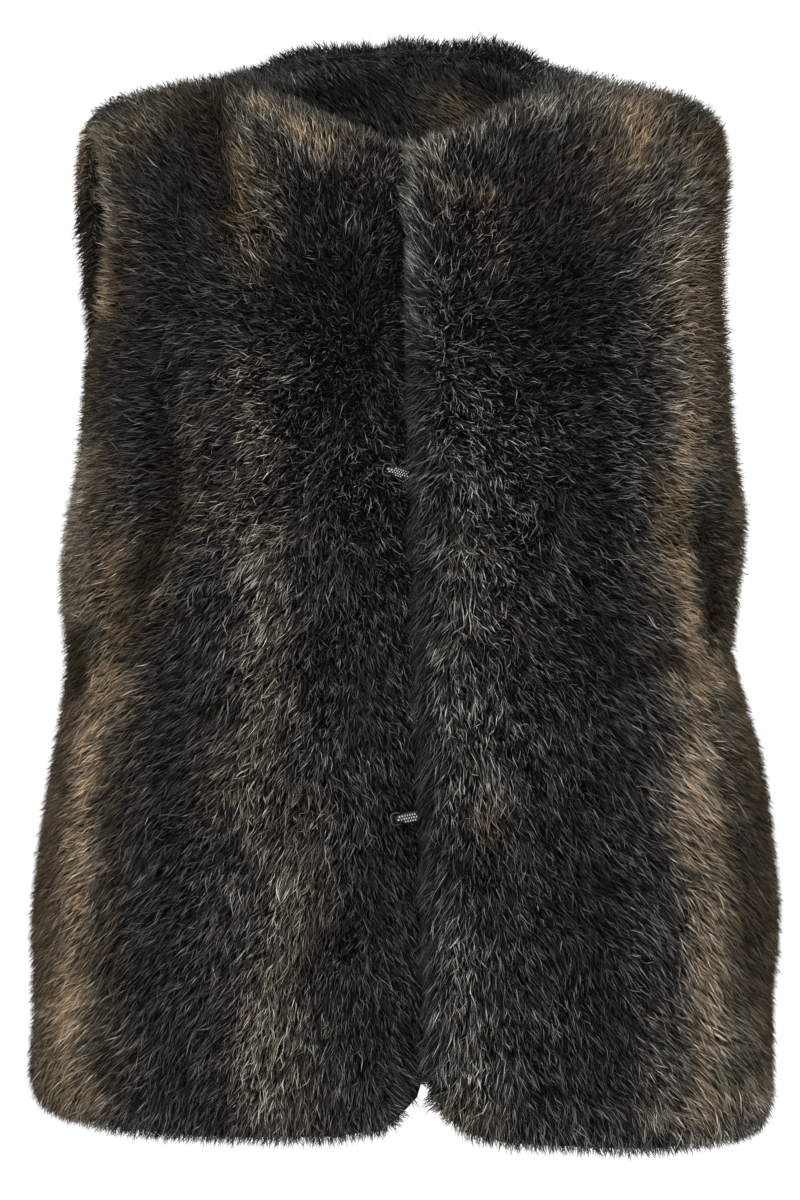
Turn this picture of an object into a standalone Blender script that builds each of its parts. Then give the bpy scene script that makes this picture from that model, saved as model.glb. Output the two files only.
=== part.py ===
"""A sleeveless fur gilet in the shape it has when worn: two fronts, a back, a back neck facing, and two
hooks that are fastened into their eyes.

Metres, +Z up. The front faces -Y, and the wearer's left is +X. The origin is on the middle plane, where
the shoulders carry the gilet. Every cloth piece is a wall as thick as its pile: its outer face is where the
tips of the pile lie, and its inner face is the backing.
"""

from collections import namedtuple

import bmesh
import bpy
import numpy as np
from mathutils import Matrix

# Cloth
WALL = 0.018
FACING_WALL = 0.012
EDGE_WALL = 0.0035
EDGE_ROLL = 0.024
FACING_ROLL = 0.012
SEAM_GAP = 0.0003

# Heights of the main lines
HEM = -0.587
UNDERARM = -0.150
FRONT_NECK_HEIGHT = -0.019
BACK_NECK_HEIGHT = 0.056

# Shoulders and neck
SHOULDER_HALF = 0.188
SHOULDER_TIP_HEIGHT = 0.010
SHOULDER_SLOPE = 0.18
SHOULDER_FLARE = 0.004
SHOULDER_ROUND = 0.006
SHOULDER_ROUND_POWER = 8
ARMHOLE_FLARE = 0.015
NECK_RISE = 0.030
NECK_SPREAD = 0.085
NECK_POWER = 6
NECK_HALF = 0.090
FRONT_NECK_POWER = 4
BACK_NECK_POWERS = {"right": 1.9, "left": 1.5}

# Front edges: they run a little to the wearer's left towards the hem, and the right dips under the left
EDGE_SHIFT_NECK = 0.0006
EDGE_SHIFT_HEM = 0.0118
EDGE_ROLL_LEFT = 0.013
EDGE_WALL_RIGHT = 0.007
EDGE_DIP_RIGHT = 0.030
HEM_CORNER = 0.042
BACK_HEM_RISE = 0.015
BACK_HEM_SPAN = 0.20

# Facing: its lower edge, and how many of the back's columns it takes from the neck edge
FACING_LOW_HEIGHT = -0.030
FACING_COLUMNS = 8

# Hooks and eyes: heights of their roots, and how far in degrees their tips turn down
HOOK_HEIGHTS = {"upper": -0.2115, "lower": -0.4010}
HOOK_TILTS = {"upper": -13.0, "lower": 10.0}
HOOK_WIDTH = 0.0056
HOOK_TIP_WIDTH = 0.0034
HOOK_THICKNESS = 0.0020
HOOK_CHAMFER = 0.6
EYE_WIRE = 0.0012
EYE_LENGTH = 0.0070
EYE_HEIGHT = 0.0078
EYE_CORNER = 0.0022
EYE_CORNER_STEPS = 4
EYE_FROM_EDGE = 0.0127
SEAT_GAP = 0.0003
SEAT_SPAN = 0.018

# Mesh density
SECTION_SQUARENESS = 2.35
PANEL_COLUMNS = 9
TORSO_ROWS = 16
FINE_STEPS = 160
NORMAL_STEP = 0.4
WELD = 0.00001
EDGE_SHARES = np.array([0.0, 0.14, 0.45, 1.0])

# How far the pile reaches at each height: sideways from the middle, and forward and back of the side seams
Section = namedtuple("Section", "height right left front back")
SECTIONS = (
    Section(-0.587, 0.2155, 0.2140, 0.1490, 0.1370),
    Section(-0.553, 0.2178, 0.2152, 0.1495, 0.1370),
    Section(-0.518, 0.2155, 0.2140, 0.1495, 0.1360),
    Section(-0.470, 0.2168, 0.2188, 0.1490, 0.1340),
    Section(-0.413, 0.2110, 0.2140, 0.1460, 0.1280),
    Section(-0.365, 0.2030, 0.2070, 0.1410, 0.1200),
    Section(-0.320, 0.1962, 0.1930, 0.1375, 0.1140),
    Section(-0.275, 0.1985, 0.1968, 0.1370, 0.1140),
    Section(-0.235, 0.1960, 0.1995, 0.1390, 0.1170),
    Section(-0.195, 0.1890, 0.1930, 0.1412, 0.1210),
    Section(-0.172, 0.1880, 0.1915, 0.1415, 0.1222),
    Section(-0.150, 0.1925, 0.1960, 0.1415, 0.1225),
)

# How much lower than its level the hem hangs, across the body from the wearer's right to the left
HemSway = namedtuple("HemSway", "across drop")
HEM_SWAYS = (
    HemSway(-0.216, -0.008),
    HemSway(-0.180, -0.003),
    HemSway(-0.130, 0.000),
    HemSway(0.000, 0.000),
    HemSway(0.080, 0.0045),
    HemSway(0.150, 0.0080),
    HemSway(0.216, 0.0035),
)

# The armhole's edges, in degrees round the body from the front: at the widest place and the shoulder's tip
Armhole = namedtuple("Armhole", "widest tip")
ARMHOLES = {
    "right_front": Armhole(56.0, 71.0),
    "left_front": Armhole(64.0, 66.0),
    "right_back": Armhole(108.0, 109.0),
    "left_back": Armhole(115.0, 113.0),
}
ARMHOLE_WIDEST = 0.40
ARMHOLE_FOOT_LEVELS = (1.2, 3.4, 7.0, 12.5, 19.0)
CHEST_LEVEL_STEP = 8.0
NECK_ROLL_LEVEL = 6.5
NECK_ROWS = 9

# The largest folds: a soft trough or ridge across a panel, leaning by its tilt in degrees from upright
Fold = namedtuple("Fold", "panel across height tilt length width depth")
FOLDS = (
    Fold("front_right", -0.140, -0.205, 18.0, 0.045, 0.013, -0.0065),
    Fold("front_right", -0.172, -0.255, 40.0, 0.040, 0.020, 0.0040),
    Fold("front_right", -0.116, -0.035, 4.0, 0.045, 0.011, -0.0055),
    Fold("front_right", -0.088, -0.060, 6.0, 0.060, 0.017, 0.0035),
    Fold("front_right", -0.060, -0.435, 75.0, 0.060, 0.020, -0.0030),
    Fold("front_left", 0.176, -0.265, -8.0, 0.048, 0.012, -0.0060),
    Fold("front_left", 0.128, -0.030, -10.0, 0.045, 0.014, -0.0040),
    Fold("front_left", 0.060, -0.425, -78.0, 0.060, 0.018, -0.0030),
    Fold("back_right", -0.110, -0.290, 25.0, 0.055, 0.016, -0.0045),
    Fold("back_left", 0.125, -0.270, -30.0, 0.050, 0.015, -0.0050),
)

# The hook from its root at the front edge: distance from the edge, height over the cloth, and width
HookStep = namedtuple("HookStep", "reach height width")
HOOK_STEPS = (
    HookStep(0.0000, 0.0017, HOOK_WIDTH),
    HookStep(0.0036, 0.0019, HOOK_WIDTH),
    HookStep(0.0064, 0.0025, HOOK_WIDTH),
    HookStep(0.0086, 0.0031, HOOK_WIDTH),
    HookStep(0.0109, 0.0031, HOOK_TIP_WIDTH),
    HookStep(0.0123, 0.0024, HOOK_TIP_WIDTH),
    HookStep(0.0127, 0.0012, HOOK_TIP_WIDTH),
)

# Colour, roughness and metallic value of each finish
Finish = namedtuple("Finish", "colour roughness metallic")
FINISHES = {
    "pile": Finish((0.052, 0.047, 0.040), 0.85, 0.0),
    "facing_pile": Finish((0.030, 0.028, 0.024), 0.85, 0.0),
    "hook_thread": Finish((0.210, 0.210, 0.205), 0.45, 0.3),
    "eye_wire": Finish((0.450, 0.450, 0.440), 0.35, 0.9),
}

SIDES = {"right": -1, "left": 1}
SHOULDER_LEVEL = 90.0
SIDE_SEAM_ANGLE = 90.0


def table_curve(rows, column, at):
    """Values of a table's column at places along its first column, on a smooth curve through its rows."""
    knots = np.array([row[0] for row in rows])
    values = np.array([getattr(row, column) for row in rows])
    slopes = np.gradient(values, knots)
    at = np.clip(at, knots[0], knots[-1])
    low = np.clip(np.searchsorted(knots, at) - 1, 0, len(knots) - 2)
    span = knots[low + 1] - knots[low]
    t = (at - knots[low]) / span
    rise = values[low + 1] - values[low]
    bend_low = span * slopes[low] - rise
    bend_high = rise - span * slopes[low + 1]
    return values[low] + t * rise + t * (1 - t) * ((1 - t) * bend_low + t * bend_high)


def squared(value):
    """A sine or cosine bent towards the squarer section of a worn body."""
    return np.sign(value) * np.abs(value) ** (2 / SECTION_SQUARENESS)


def ridge_height(x):
    """Height of the shoulder line: an even slope that rises into the neck and rounds off at the tip."""
    slope = SHOULDER_SLOPE * (SHOULDER_HALF - np.abs(x))
    tip = SHOULDER_ROUND * (np.abs(x) / SHOULDER_HALF) ** SHOULDER_ROUND_POWER
    neck = NECK_RISE * np.exp(-((np.abs(x) / NECK_SPREAD) ** NECK_POWER))
    return SHOULDER_TIP_HEIGHT + slope - tip + neck


def half_width(level, side):
    """Sideways reach of the pile at a level."""
    below = table_curve(SECTIONS, side, UNDERARM + np.minimum(level, 0))
    over = np.radians(np.maximum(level, 0))
    return below + SHOULDER_FLARE * np.sin(over) + ARMHOLE_FLARE * np.sin(2 * over)


def form(angle, level, side):
    """Points where the pile ends. The angle runs in degrees from the middle front, 0, past the side seam,
    90, to the middle back, 180. A level under 0 is metres below the underarm, and over 0 degrees of the
    curve up and over the shoulder."""
    angle, level = np.broadcast_arrays(np.radians(angle), np.asarray(level, float))
    height = UNDERARM + np.minimum(level, 0)
    over = np.radians(np.maximum(level, 0))
    x = SIDES[side] * half_width(level, side) * squared(np.sin(angle))
    front = table_curve(SECTIONS, "front", height)
    back = table_curve(SECTIONS, "back", height)
    y = -np.where(np.cos(angle) > 0, front, back) * squared(np.cos(angle)) * np.cos(over)
    z = height + (ridge_height(x) - UNDERARM) * np.sin(over)
    return np.stack([x, y, z], axis=-1)


def form_normal(angle, level, side):
    """Outward directions at the same places as form."""
    angle, level = np.broadcast_arrays(np.asarray(angle, float), np.asarray(level, float))
    around = form(angle + NORMAL_STEP, level, side) - form(angle - NORMAL_STEP, level, side)
    step = np.where(level <= 0, NORMAL_STEP / 100, NORMAL_STEP)
    upward = form(angle, level + step, side) - form(angle, level - step, side)
    normal = SIDES[side] * np.cross(around, upward)
    return normal / np.linalg.norm(normal, axis=-1, keepdims=True)


def angle_at(x, level, side):
    """Degrees from the middle front of a place x metres out from the middle, towards the panel's side."""
    share = np.clip(x / half_width(level, side), -1, 1)
    return np.degrees(np.arcsin(np.sign(share) * np.abs(share) ** (SECTION_SQUARENESS / 2)))


def neck_level(height):
    """Level at which the middle plane reaches a height above the underarm."""
    return np.degrees(np.arcsin((height - UNDERARM) / (ridge_height(0.0) - UNDERARM)))


def share_above(level, low):
    """Share of the way from a low level up to the shoulder seam."""
    return np.clip((level - low) / (SHOULDER_LEVEL - low), 0, 1)


def opening_shift(level):
    """How far the front opening lies to the wearer's left of the middle plane."""
    share = np.clip(level / (HEM - UNDERARM), 0, 1)
    return EDGE_SHIFT_NECK + (EDGE_SHIFT_HEM - EDGE_SHIFT_NECK) * share


def front_edge_angle(level, side):
    """Angle of a front's own edge, from the hem up along the opening and then round the neck."""
    opening = opening_shift(level) * SIDES[side]
    rise = share_above(level, neck_level(FRONT_NECK_HEIGHT))
    neck = opening + (NECK_HALF - opening) * (1 - (1 - rise) ** FRONT_NECK_POWER)
    return angle_at(neck, level, side)


def back_edge_angle(level, side):
    """Angle of a back half's inner edge: the middle back, and then round the neck."""
    rise = share_above(level, neck_level(BACK_NECK_HEIGHT))
    power = BACK_NECK_POWERS[side]
    return 180 - angle_at(NECK_HALF * (1 - (1 - rise) ** power) ** (1 / power), level, side)


def armhole_angle(level, edge):
    """Angle of the side seam, and above the underarm of the armhole's edge, which is round at its foot."""
    armhole = ARMHOLES[edge]
    rise = max(level, 0) / SHOULDER_LEVEL
    foot = min(rise / ARMHOLE_WIDEST, 1)
    top = max((rise - ARMHOLE_WIDEST) / (1 - ARMHOLE_WIDEST), 0)
    widening = (armhole.widest - SIDE_SEAM_ANGLE) * np.sqrt(1 - (1 - foot) ** 2)
    return SIDE_SEAM_ANGLE + widening + (armhole.tip - armhole.widest) * top**2


def length_along(points):
    """How far along a line of points each lies from the first."""
    return np.concatenate([[0.0], np.cumsum(np.linalg.norm(np.diff(points, axis=0), axis=1))])


def row_levels(neck, inner_edge, side):
    """Levels of a panel's rows from the hem to the shoulder seam, with one at the neck's lowest level and
    those above it evenly spaced along the neck's edge."""
    hem_rows = EDGE_SHARES[:-1] * EDGE_ROLL
    torso_rows = np.linspace(EDGE_ROLL, UNDERARM - HEM, TORSO_ROWS)
    torso = HEM - UNDERARM + np.concatenate([hem_rows, torso_rows])
    foot = np.array(ARMHOLE_FOOT_LEVELS)
    roll = neck - EDGE_SHARES[::-1] * NECK_ROLL_LEVEL
    chest_count = max(1, round((roll[0] - foot[-1]) / CHEST_LEVEL_STEP))
    chest = np.linspace(foot[-1], roll[0], chest_count + 1)[1:-1]
    fine = np.linspace(neck, SHOULDER_LEVEL, FINE_STEPS)
    length = length_along(form(inner_edge(fine, side), fine, side))
    up_neck = np.interp(np.linspace(0, length[-1], NECK_ROWS + 1)[1:], length, fine)
    return np.concatenate([torso, foot, chest, roll, up_neck])


def column_places(length):
    """Distances across a panel of this length: close together at both edges, where the pile rolls over."""
    steps = EDGE_SHARES * min(EDGE_ROLL, length / 4)
    middle = np.linspace(steps[-1], length - steps[-1], PANEL_COLUMNS + 1)[1:-1]
    return np.concatenate([steps, middle, length - steps[::-1]])


def run_along(start, end, level, side):
    """Angles between two angles of one level, and how far along the cloth each lies from the first."""
    angles = np.linspace(start, end, FINE_STEPS)
    return angles, length_along(form(angles, level, side))


def corner_rise(distance):
    """How much the hem rises in the round corner at the front edge, by distance from that edge."""
    inside = np.clip(HEM_CORNER - distance, 0, None)
    return HEM_CORNER - np.sqrt(HEM_CORNER**2 - inside**2)


def back_rise(x):
    """How much the back's hem rises towards its middle."""
    return BACK_HEM_RISE * (1 + np.cos(np.pi * np.clip(np.abs(x) / BACK_HEM_SPAN, 0, 1))) / 2


class Panel:
    """A cloth panel, or half of the back, as rows of points from its inner edge to the seam and armhole."""

    def __init__(self, name, side, inner_edge, armhole_edge, neck_height):
        self.name = name
        self.side = side
        self.is_front = name.startswith("front")
        neck = neck_level(neck_height)
        self.levels = row_levels(neck, inner_edge, side)
        self.underarm_row = int(np.argmin(np.abs(self.levels)))
        self.neck_row = int(np.argmin(np.abs(self.levels - neck)))
        angles, levels = [], []
        for level in self.levels:
            end = armhole_angle(level, armhole_edge)
            fine, length = run_along(inner_edge(level, side), end, level, side)
            places = column_places(length[-1])
            row = np.interp(places, length, fine)
            lift = -table_curve(HEM_SWAYS, "drop", form(row, level, side)[:, 0])
            lift += corner_rise(places) if self.is_front else back_rise(form(row, level, side)[:, 0])
            angles.append(row)
            levels.append(level + lift * np.clip(level / (HEM - UNDERARM), 0, 1))
        self.points = form(np.array(angles), np.array(levels), side)
        self.normals = form_normal(np.array(angles), np.array(levels), side)

    def free_edges(self):
        """The edges where the pile rolls over, apart from the front opening."""
        return [
            self.points[0],
            self.points[self.underarm_row :, -1],
            self.points[self.neck_row :, 0],
        ]

    def fold_offset(self):
        """How far the folds move each point out."""
        offset = np.zeros(self.points.shape[:2])
        for fold in FOLDS:
            if fold.panel != self.name:
                continue
            tilt = np.radians(fold.tilt)
            across = self.points[..., 0] - fold.across
            up = self.points[..., 2] - fold.height
            along = (across * np.sin(tilt) + up * np.cos(tilt)) / fold.length
            beside = (across * np.cos(tilt) - up * np.sin(tilt)) / fold.width
            offset += fold.depth * np.exp(-(along**2) - beside**2)
        return offset

    def thickness(self, edges):
        """Wall at each point: full, but rolled down to thin free edges."""
        wall = rolled(distance_to(self.points, edges), WALL, EDGE_ROLL)
        if not self.is_front:
            return wall
        from_opening = distance_to(self.points, [self.points[: self.neck_row + 1, 0]])
        if self.side == "left":
            return np.minimum(wall, rolled(from_opening, WALL, EDGE_ROLL_LEFT))
        return np.minimum(wall, dipped(from_opening))

    def faces(self, edges):
        """Grids of the inner and the outer face, drawn back from the seams by half a gap."""
        base = self.fold_offset() - WALL
        inner = self.points + self.normals * base[..., None]
        outer = self.points + self.normals * (base + self.thickness(edges))[..., None]
        seam = np.zeros_like(inner)
        seam_way = -SEAM_GAP / 2 if self.is_front else SEAM_GAP / 2
        seam[: self.underarm_row + 1, -1, 1] = seam_way
        seam[-1, :, 1] = seam_way
        if self.is_front:
            seam[: self.neck_row + 1, 0, 0] = SIDES[self.side] * SEAM_GAP / 2
        return inner + seam, outer + seam


def rolled(distance, wall, roll):
    """Wall that rises from its thin edge in a quarter round."""
    share = np.clip(distance / roll, 0, 1)
    return EDGE_WALL + (wall - EDGE_WALL) * np.sqrt(1 - (1 - share) ** 2)


def dipped(distance):
    """Wall of the right front, which slopes down evenly to its edge under the left one."""
    return EDGE_WALL_RIGHT + (WALL - EDGE_WALL_RIGHT) * np.clip(distance / EDGE_DIP_RIGHT, 0, 1)


def distance_to(points, lines):
    """Distance from each point of a grid to the nearest of some lines of points."""
    nearest = np.full(points.shape[:2], np.inf)
    for line in lines:
        for start, end in zip(line[:-1], line[1:]):
            way = end - start
            share = np.clip((points - start) @ way / max(way @ way, WELD**2), 0, 1)
            gap = points - start - share[..., None] * way
            nearest = np.minimum(nearest, np.linalg.norm(gap, axis=-1))
    return nearest


def finish_material(name):
    """A material with one of the finishes."""
    finish = FINISHES[name]
    material = bpy.data.materials.new(name)
    material.use_nodes = True
    shader = material.node_tree.nodes["Principled BSDF"]
    shader.inputs["Base Color"].default_value = (*finish.colour, 1.0)
    shader.inputs["Roughness"].default_value = finish.roughness
    shader.inputs["Metallic"].default_value = finish.metallic
    return material


def add_object(name, data, material, parent):
    """An object in the scene, under its parent."""
    if material.name not in data.materials:
        data.materials.append(material)
    made = bpy.data.objects.new(name, data)
    made.parent = parent
    bpy.context.scene.collection.objects.link(made)
    return made


def wall_mesh(name, halves):
    """A closed wall from pairs of inner and outer grids, whose cells are cut along their shorter diagonals.
    Each half says how many rows of its inner edge are joined to the other half, and so have no rim."""
    shell = bmesh.new()
    for inner, outer, joined in halves:
        row_count, column_count = inner.shape[:2]
        near = [[shell.verts.new(point) for point in row] for row in inner]
        far = [[shell.verts.new(point) for point in row] for row in outer]
        for r in range(row_count - 1):
            for c in range(column_count - 1):
                for grid in (near, far):
                    corners = [grid[r][c], grid[r][c + 1], grid[r + 1][c + 1], grid[r + 1][c]]
                    if (corners[0].co - corners[2].co).length > (corners[1].co - corners[3].co).length:
                        corners = corners[1:] + corners[:1]
                    shell.faces.new((corners[0], corners[1], corners[2]))
                    shell.faces.new((corners[0], corners[2], corners[3]))
        rim = [(0, c) for c in range(column_count)]
        rim += [(r, column_count - 1) for r in range(1, row_count)]
        rim += [(row_count - 1, c) for c in range(column_count - 2, -1, -1)]
        rim += [(r, 0) for r in range(row_count - 2, joined - 1, -1)]
        for (r, c), (next_r, next_c) in zip(rim[:-1], rim[1:]):
            shell.faces.new((near[r][c], near[next_r][next_c], far[next_r][next_c], far[r][c]))
    bmesh.ops.remove_doubles(shell, verts=shell.verts, dist=WELD)
    bmesh.ops.recalc_face_normals(shell, faces=shell.faces)
    mesh = bpy.data.meshes.new(name)
    shell.to_mesh(mesh)
    shell.free()
    mesh.shade_smooth()
    mesh.set_sharp_from_angle(angle=np.radians(50))
    return mesh


def facing_half(panel):
    """Grids of one half of the back neck facing, made from the back's points and moved in behind them."""
    low = int(np.argmin(np.abs(panel.levels - neck_level(FACING_LOW_HEIGHT))))
    points = panel.points[low:, :FACING_COLUMNS]
    normals = panel.normals[low:, :FACING_COLUMNS]
    neck = points[panel.neck_row - low :, 0]
    edges = [points[0], points[:, -1], points[-1], neck]
    wall = rolled(distance_to(points, edges), FACING_WALL, FACING_ROLL)
    behind = WALL + SEAM_GAP
    outer = points - normals * behind
    inner = points - normals * (behind + wall)[..., None]
    for grid in (outer, inner):
        grid[-1, :, 1] += SEAM_GAP / 2
    return inner, outer, panel.neck_row - low


def edge_seat(place):
    """Placing of a hook and its eye on the right front: X runs from the edge, Z stands off the cloth."""
    level = HOOK_HEIGHTS[place] - UNDERARM
    start = front_edge_angle(level, "right")
    fine, length = run_along(start, start + 20, level, "right")
    reach = np.array([0.0, SEAT_SPAN])
    angles = np.interp(reach, length, fine)
    lift = (dipped(reach) - WALL)[:, None]
    root, end = form(angles, level, "right") + form_normal(angles, level, "right") * lift
    along = (end - root) / np.linalg.norm(end - root)
    off = np.cross(along, (0.0, 0.0, 1.0))
    off *= -np.sign(off[1]) / np.linalg.norm(off)
    beside = np.cross(off, along)
    seat = np.identity(4)
    seat[:3] = np.stack([along, beside, off, root], axis=1)
    return Matrix(seat.tolist()) @ Matrix.Rotation(np.radians(HOOK_TILTS[place]), 4, "Z")


def hook_mesh():
    """A flat hook with chamfered sides, swept along its steps, whose tip turns down into the eye."""
    path = np.array([(step.reach, 0.0, step.height) for step in HOOK_STEPS])
    ways = np.gradient(path, axis=0)
    ways /= np.linalg.norm(ways, axis=1)[:, None]
    corners = [(1, HOOK_CHAMFER), (HOOK_CHAMFER, 1), (-HOOK_CHAMFER, 1), (-1, HOOK_CHAMFER)]
    corners += [(-y, -z) for y, z in corners]
    band = bmesh.new()
    rings = []
    for step, middle, way in zip(HOOK_STEPS, path, ways):
        off = np.array([-way[2], 0.0, way[0]]) * HOOK_THICKNESS / 2
        beside = np.array([0.0, step.width / 2, 0.0])
        rings.append([band.verts.new(middle + y * beside + z * off) for y, z in corners])
    for ring, next_ring in zip(rings[:-1], rings[1:]):
        for i in range(len(corners)):
            j = (i + 1) % len(corners)
            band.faces.new((ring[i], ring[j], next_ring[j], next_ring[i]))
    band.faces.new(rings[0])
    band.faces.new(rings[-1])
    bmesh.ops.recalc_face_normals(band, faces=band.faces)
    mesh = bpy.data.meshes.new("hook")
    band.to_mesh(mesh)
    band.free()
    return mesh


def eye_curve():
    """A wire bent into a round-cornered loop that lies on the cloth."""
    half_length = (EYE_LENGTH - EYE_WIRE) / 2 - EYE_CORNER
    half_height = (EYE_HEIGHT - EYE_WIRE) / 2 - EYE_CORNER
    route = []
    for quarter, (x_way, y_way) in enumerate(((1, 1), (-1, 1), (-1, -1), (1, -1))):
        for step in range(EYE_CORNER_STEPS + 1):
            turn = np.radians(90) * (quarter + step / EYE_CORNER_STEPS)
            x = EYE_FROM_EDGE + x_way * half_length + EYE_CORNER * np.cos(turn)
            y = y_way * half_height + EYE_CORNER * np.sin(turn)
            route.append((x, y, EYE_WIRE / 2 + SEAT_GAP, 1.0))
    curve = bpy.data.curves.new("eye", "CURVE")
    curve.dimensions = "3D"
    curve.bevel_depth = EYE_WIRE / 2
    curve.bevel_resolution = 1
    spline = curve.splines.new("POLY")
    spline.points.add(len(route) - 1)
    for point, place in zip(spline.points, route):
        point.co = place
    spline.use_cyclic_u = True
    return curve


def clear_scene():
    """Removes what the scene starts with."""
    for item in list(bpy.data.objects):
        bpy.data.objects.remove(item, do_unlink=True)


def build_gilet():
    """Makes every piece of the gilet."""
    clear_scene()
    materials = {name: finish_material(name) for name in FINISHES}
    gilet = bpy.data.objects.new("gilet", None)
    bpy.context.scene.collection.objects.link(gilet)
    fronts = [
        Panel("front_right", "right", front_edge_angle, "right_front", FRONT_NECK_HEIGHT),
        Panel("front_left", "left", front_edge_angle, "left_front", FRONT_NECK_HEIGHT),
    ]
    backs = [
        Panel("back_right", "right", back_edge_angle, "right_back", BACK_NECK_HEIGHT),
        Panel("back_left", "left", back_edge_angle, "left_back", BACK_NECK_HEIGHT),
    ]
    edges = [edge for panel in fronts + backs for edge in panel.free_edges()]
    for panel in fronts:
        mesh = wall_mesh(panel.name, [(*panel.faces(edges), 0)])
        add_object(panel.name, mesh, materials["pile"], gilet)
    back = wall_mesh("back", [(*panel.faces(edges), panel.neck_row) for panel in backs])
    add_object("back", back, materials["pile"], gilet)
    facing = wall_mesh("back_neck_facing", [facing_half(panel) for panel in backs])
    add_object("back_neck_facing", facing, materials["facing_pile"], gilet)
    hook, eye = hook_mesh(), eye_curve()
    for place in HOOK_HEIGHTS:
        seat = edge_seat(place)
        add_object(f"hook_{place}", hook, materials["hook_thread"], gilet).matrix_world = seat
        add_object(f"eye_{place}", eye, materials["eye_wire"], gilet).matrix_world = seat


build_gilet()
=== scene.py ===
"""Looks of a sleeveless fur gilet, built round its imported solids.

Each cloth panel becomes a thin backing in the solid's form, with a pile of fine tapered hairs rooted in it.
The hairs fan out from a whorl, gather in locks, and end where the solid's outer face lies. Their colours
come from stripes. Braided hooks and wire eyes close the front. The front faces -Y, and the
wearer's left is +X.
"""

from __future__ import annotations

import logging
from dataclasses import dataclass, replace
from enum import Enum
from typing import ClassVar

import bpy
import numpy as np
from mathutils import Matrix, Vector
from mathutils.bvhtree import BVHTree
from mathutils.kdtree import KDTree

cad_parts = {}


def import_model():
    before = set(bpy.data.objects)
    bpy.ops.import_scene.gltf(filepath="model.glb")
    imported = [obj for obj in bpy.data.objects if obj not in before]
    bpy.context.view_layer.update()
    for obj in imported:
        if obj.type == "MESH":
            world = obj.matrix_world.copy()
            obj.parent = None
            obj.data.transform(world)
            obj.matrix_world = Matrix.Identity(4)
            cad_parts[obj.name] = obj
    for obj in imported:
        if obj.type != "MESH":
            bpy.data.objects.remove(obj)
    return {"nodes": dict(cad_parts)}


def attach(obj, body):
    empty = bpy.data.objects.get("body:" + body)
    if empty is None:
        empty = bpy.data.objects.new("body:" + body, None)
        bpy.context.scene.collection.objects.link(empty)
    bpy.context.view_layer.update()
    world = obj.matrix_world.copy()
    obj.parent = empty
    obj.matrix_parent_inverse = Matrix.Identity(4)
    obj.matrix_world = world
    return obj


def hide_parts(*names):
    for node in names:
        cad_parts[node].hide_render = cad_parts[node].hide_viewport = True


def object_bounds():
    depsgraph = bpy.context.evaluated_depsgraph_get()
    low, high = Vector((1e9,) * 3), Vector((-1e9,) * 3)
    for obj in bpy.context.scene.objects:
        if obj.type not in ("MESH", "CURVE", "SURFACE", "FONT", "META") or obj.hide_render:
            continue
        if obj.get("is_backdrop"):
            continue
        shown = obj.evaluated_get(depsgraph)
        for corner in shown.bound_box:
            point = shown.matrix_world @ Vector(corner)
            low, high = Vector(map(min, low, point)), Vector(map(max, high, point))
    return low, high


PALETTE_MAP = "OFBake"
MILLIMETRE = 0.001
TINY = 1e-12
UNDERARM_HEIGHT = -0.150

log = logging.getLogger("gilet")

Colour = tuple[float, float, float]
Path = tuple[tuple[float, float], ...]
CadNodes = dict[str, bpy.types.Object]


class Hair(Enum):
    """The two kinds of hair in the pile."""

    GUARD = "guard_hair"
    UNDER = "under_fur"


class Furred(Enum):
    """Which face of a wall carries the pile."""

    OUTSIDE = "outside"
    INSIDE = "inside"


class Opening(Enum):
    """Whether the pile covers a panel's edge at the front opening."""

    BARE = "bare"
    FRINGED = "fringed"


def unit(vectors: np.ndarray) -> np.ndarray:
    """The vectors at length one."""
    return vectors / np.maximum(np.linalg.norm(vectors, axis=-1, keepdims=True), TINY)


def flattened(vectors: np.ndarray, normals: np.ndarray) -> np.ndarray:
    """What is left of the vectors along the cloth."""
    return vectors - (vectors * normals).sum(axis=1)[:, None] * normals


@dataclass(frozen=True)
class WaveNoise:
    """A soft uneven field made of plane waves in seeded directions.

    LENGTHS is the range of the waves' lengths, as shares of the wavelength in metres.
    """

    LENGTHS: ClassVar[tuple[float, float]] = (0.6, 1.7)
    SWING: ClassVar[float] = 1.2

    wavelength: float
    seed: int
    waves: int = 14

    def at(self, points: np.ndarray) -> np.ndarray:
        """Reads the field.

        Args:
            points: places in metres, one a row.

        Returns:
            Values mostly between -1 and 1.
        """
        rng = np.random.default_rng(self.seed)
        ways = unit(rng.normal(size=(self.waves, 3)))
        scales = 2 * np.pi / (self.wavelength * rng.uniform(*self.LENGTHS, self.waves))
        phases = rng.uniform(0, 2 * np.pi, self.waves)
        heights = np.sin(points @ (ways * scales[:, None]).T + phases)
        return heights.sum(axis=1) * np.sqrt(self.SWING / self.waves)


def beside(path: Path, width: float, points: np.ndarray) -> tuple[np.ndarray, np.ndarray]:
    """Where places lie beside a soft line that is drawn on the front view.

    Args:
        path: the line's corners in millimetres, across and up.
        width: how far from the line it shows well, in millimetres.
        points: places in metres, one a row.

    Returns:
        For each place, the way to it from the line, across and up, in widths of the line, and a weight
        that falls off softly from 1.
    """
    flat = points[:, (0, 2)]
    corners = np.array(path) * MILLIMETRE
    nearest = np.full(len(points), np.inf)
    away = np.zeros_like(flat)
    for start, end in zip(corners[:-1], corners[1:]):
        way = end - start
        share = np.clip((flat - start) @ way / (way @ way), 0, 1)
        gap = flat - start - share[:, None] * way
        distance = np.linalg.norm(gap, axis=1)
        closer = distance < nearest
        nearest[closer] = distance[closer]
        away[closer] = gap[closer]
    away /= width * MILLIMETRE
    return away, np.exp(-(away**2).sum(axis=1))


@dataclass(frozen=True)
class Shade:
    """A tone of the pile: how brown and how light it is, from 0 to 1."""

    brown: float
    light: float


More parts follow.
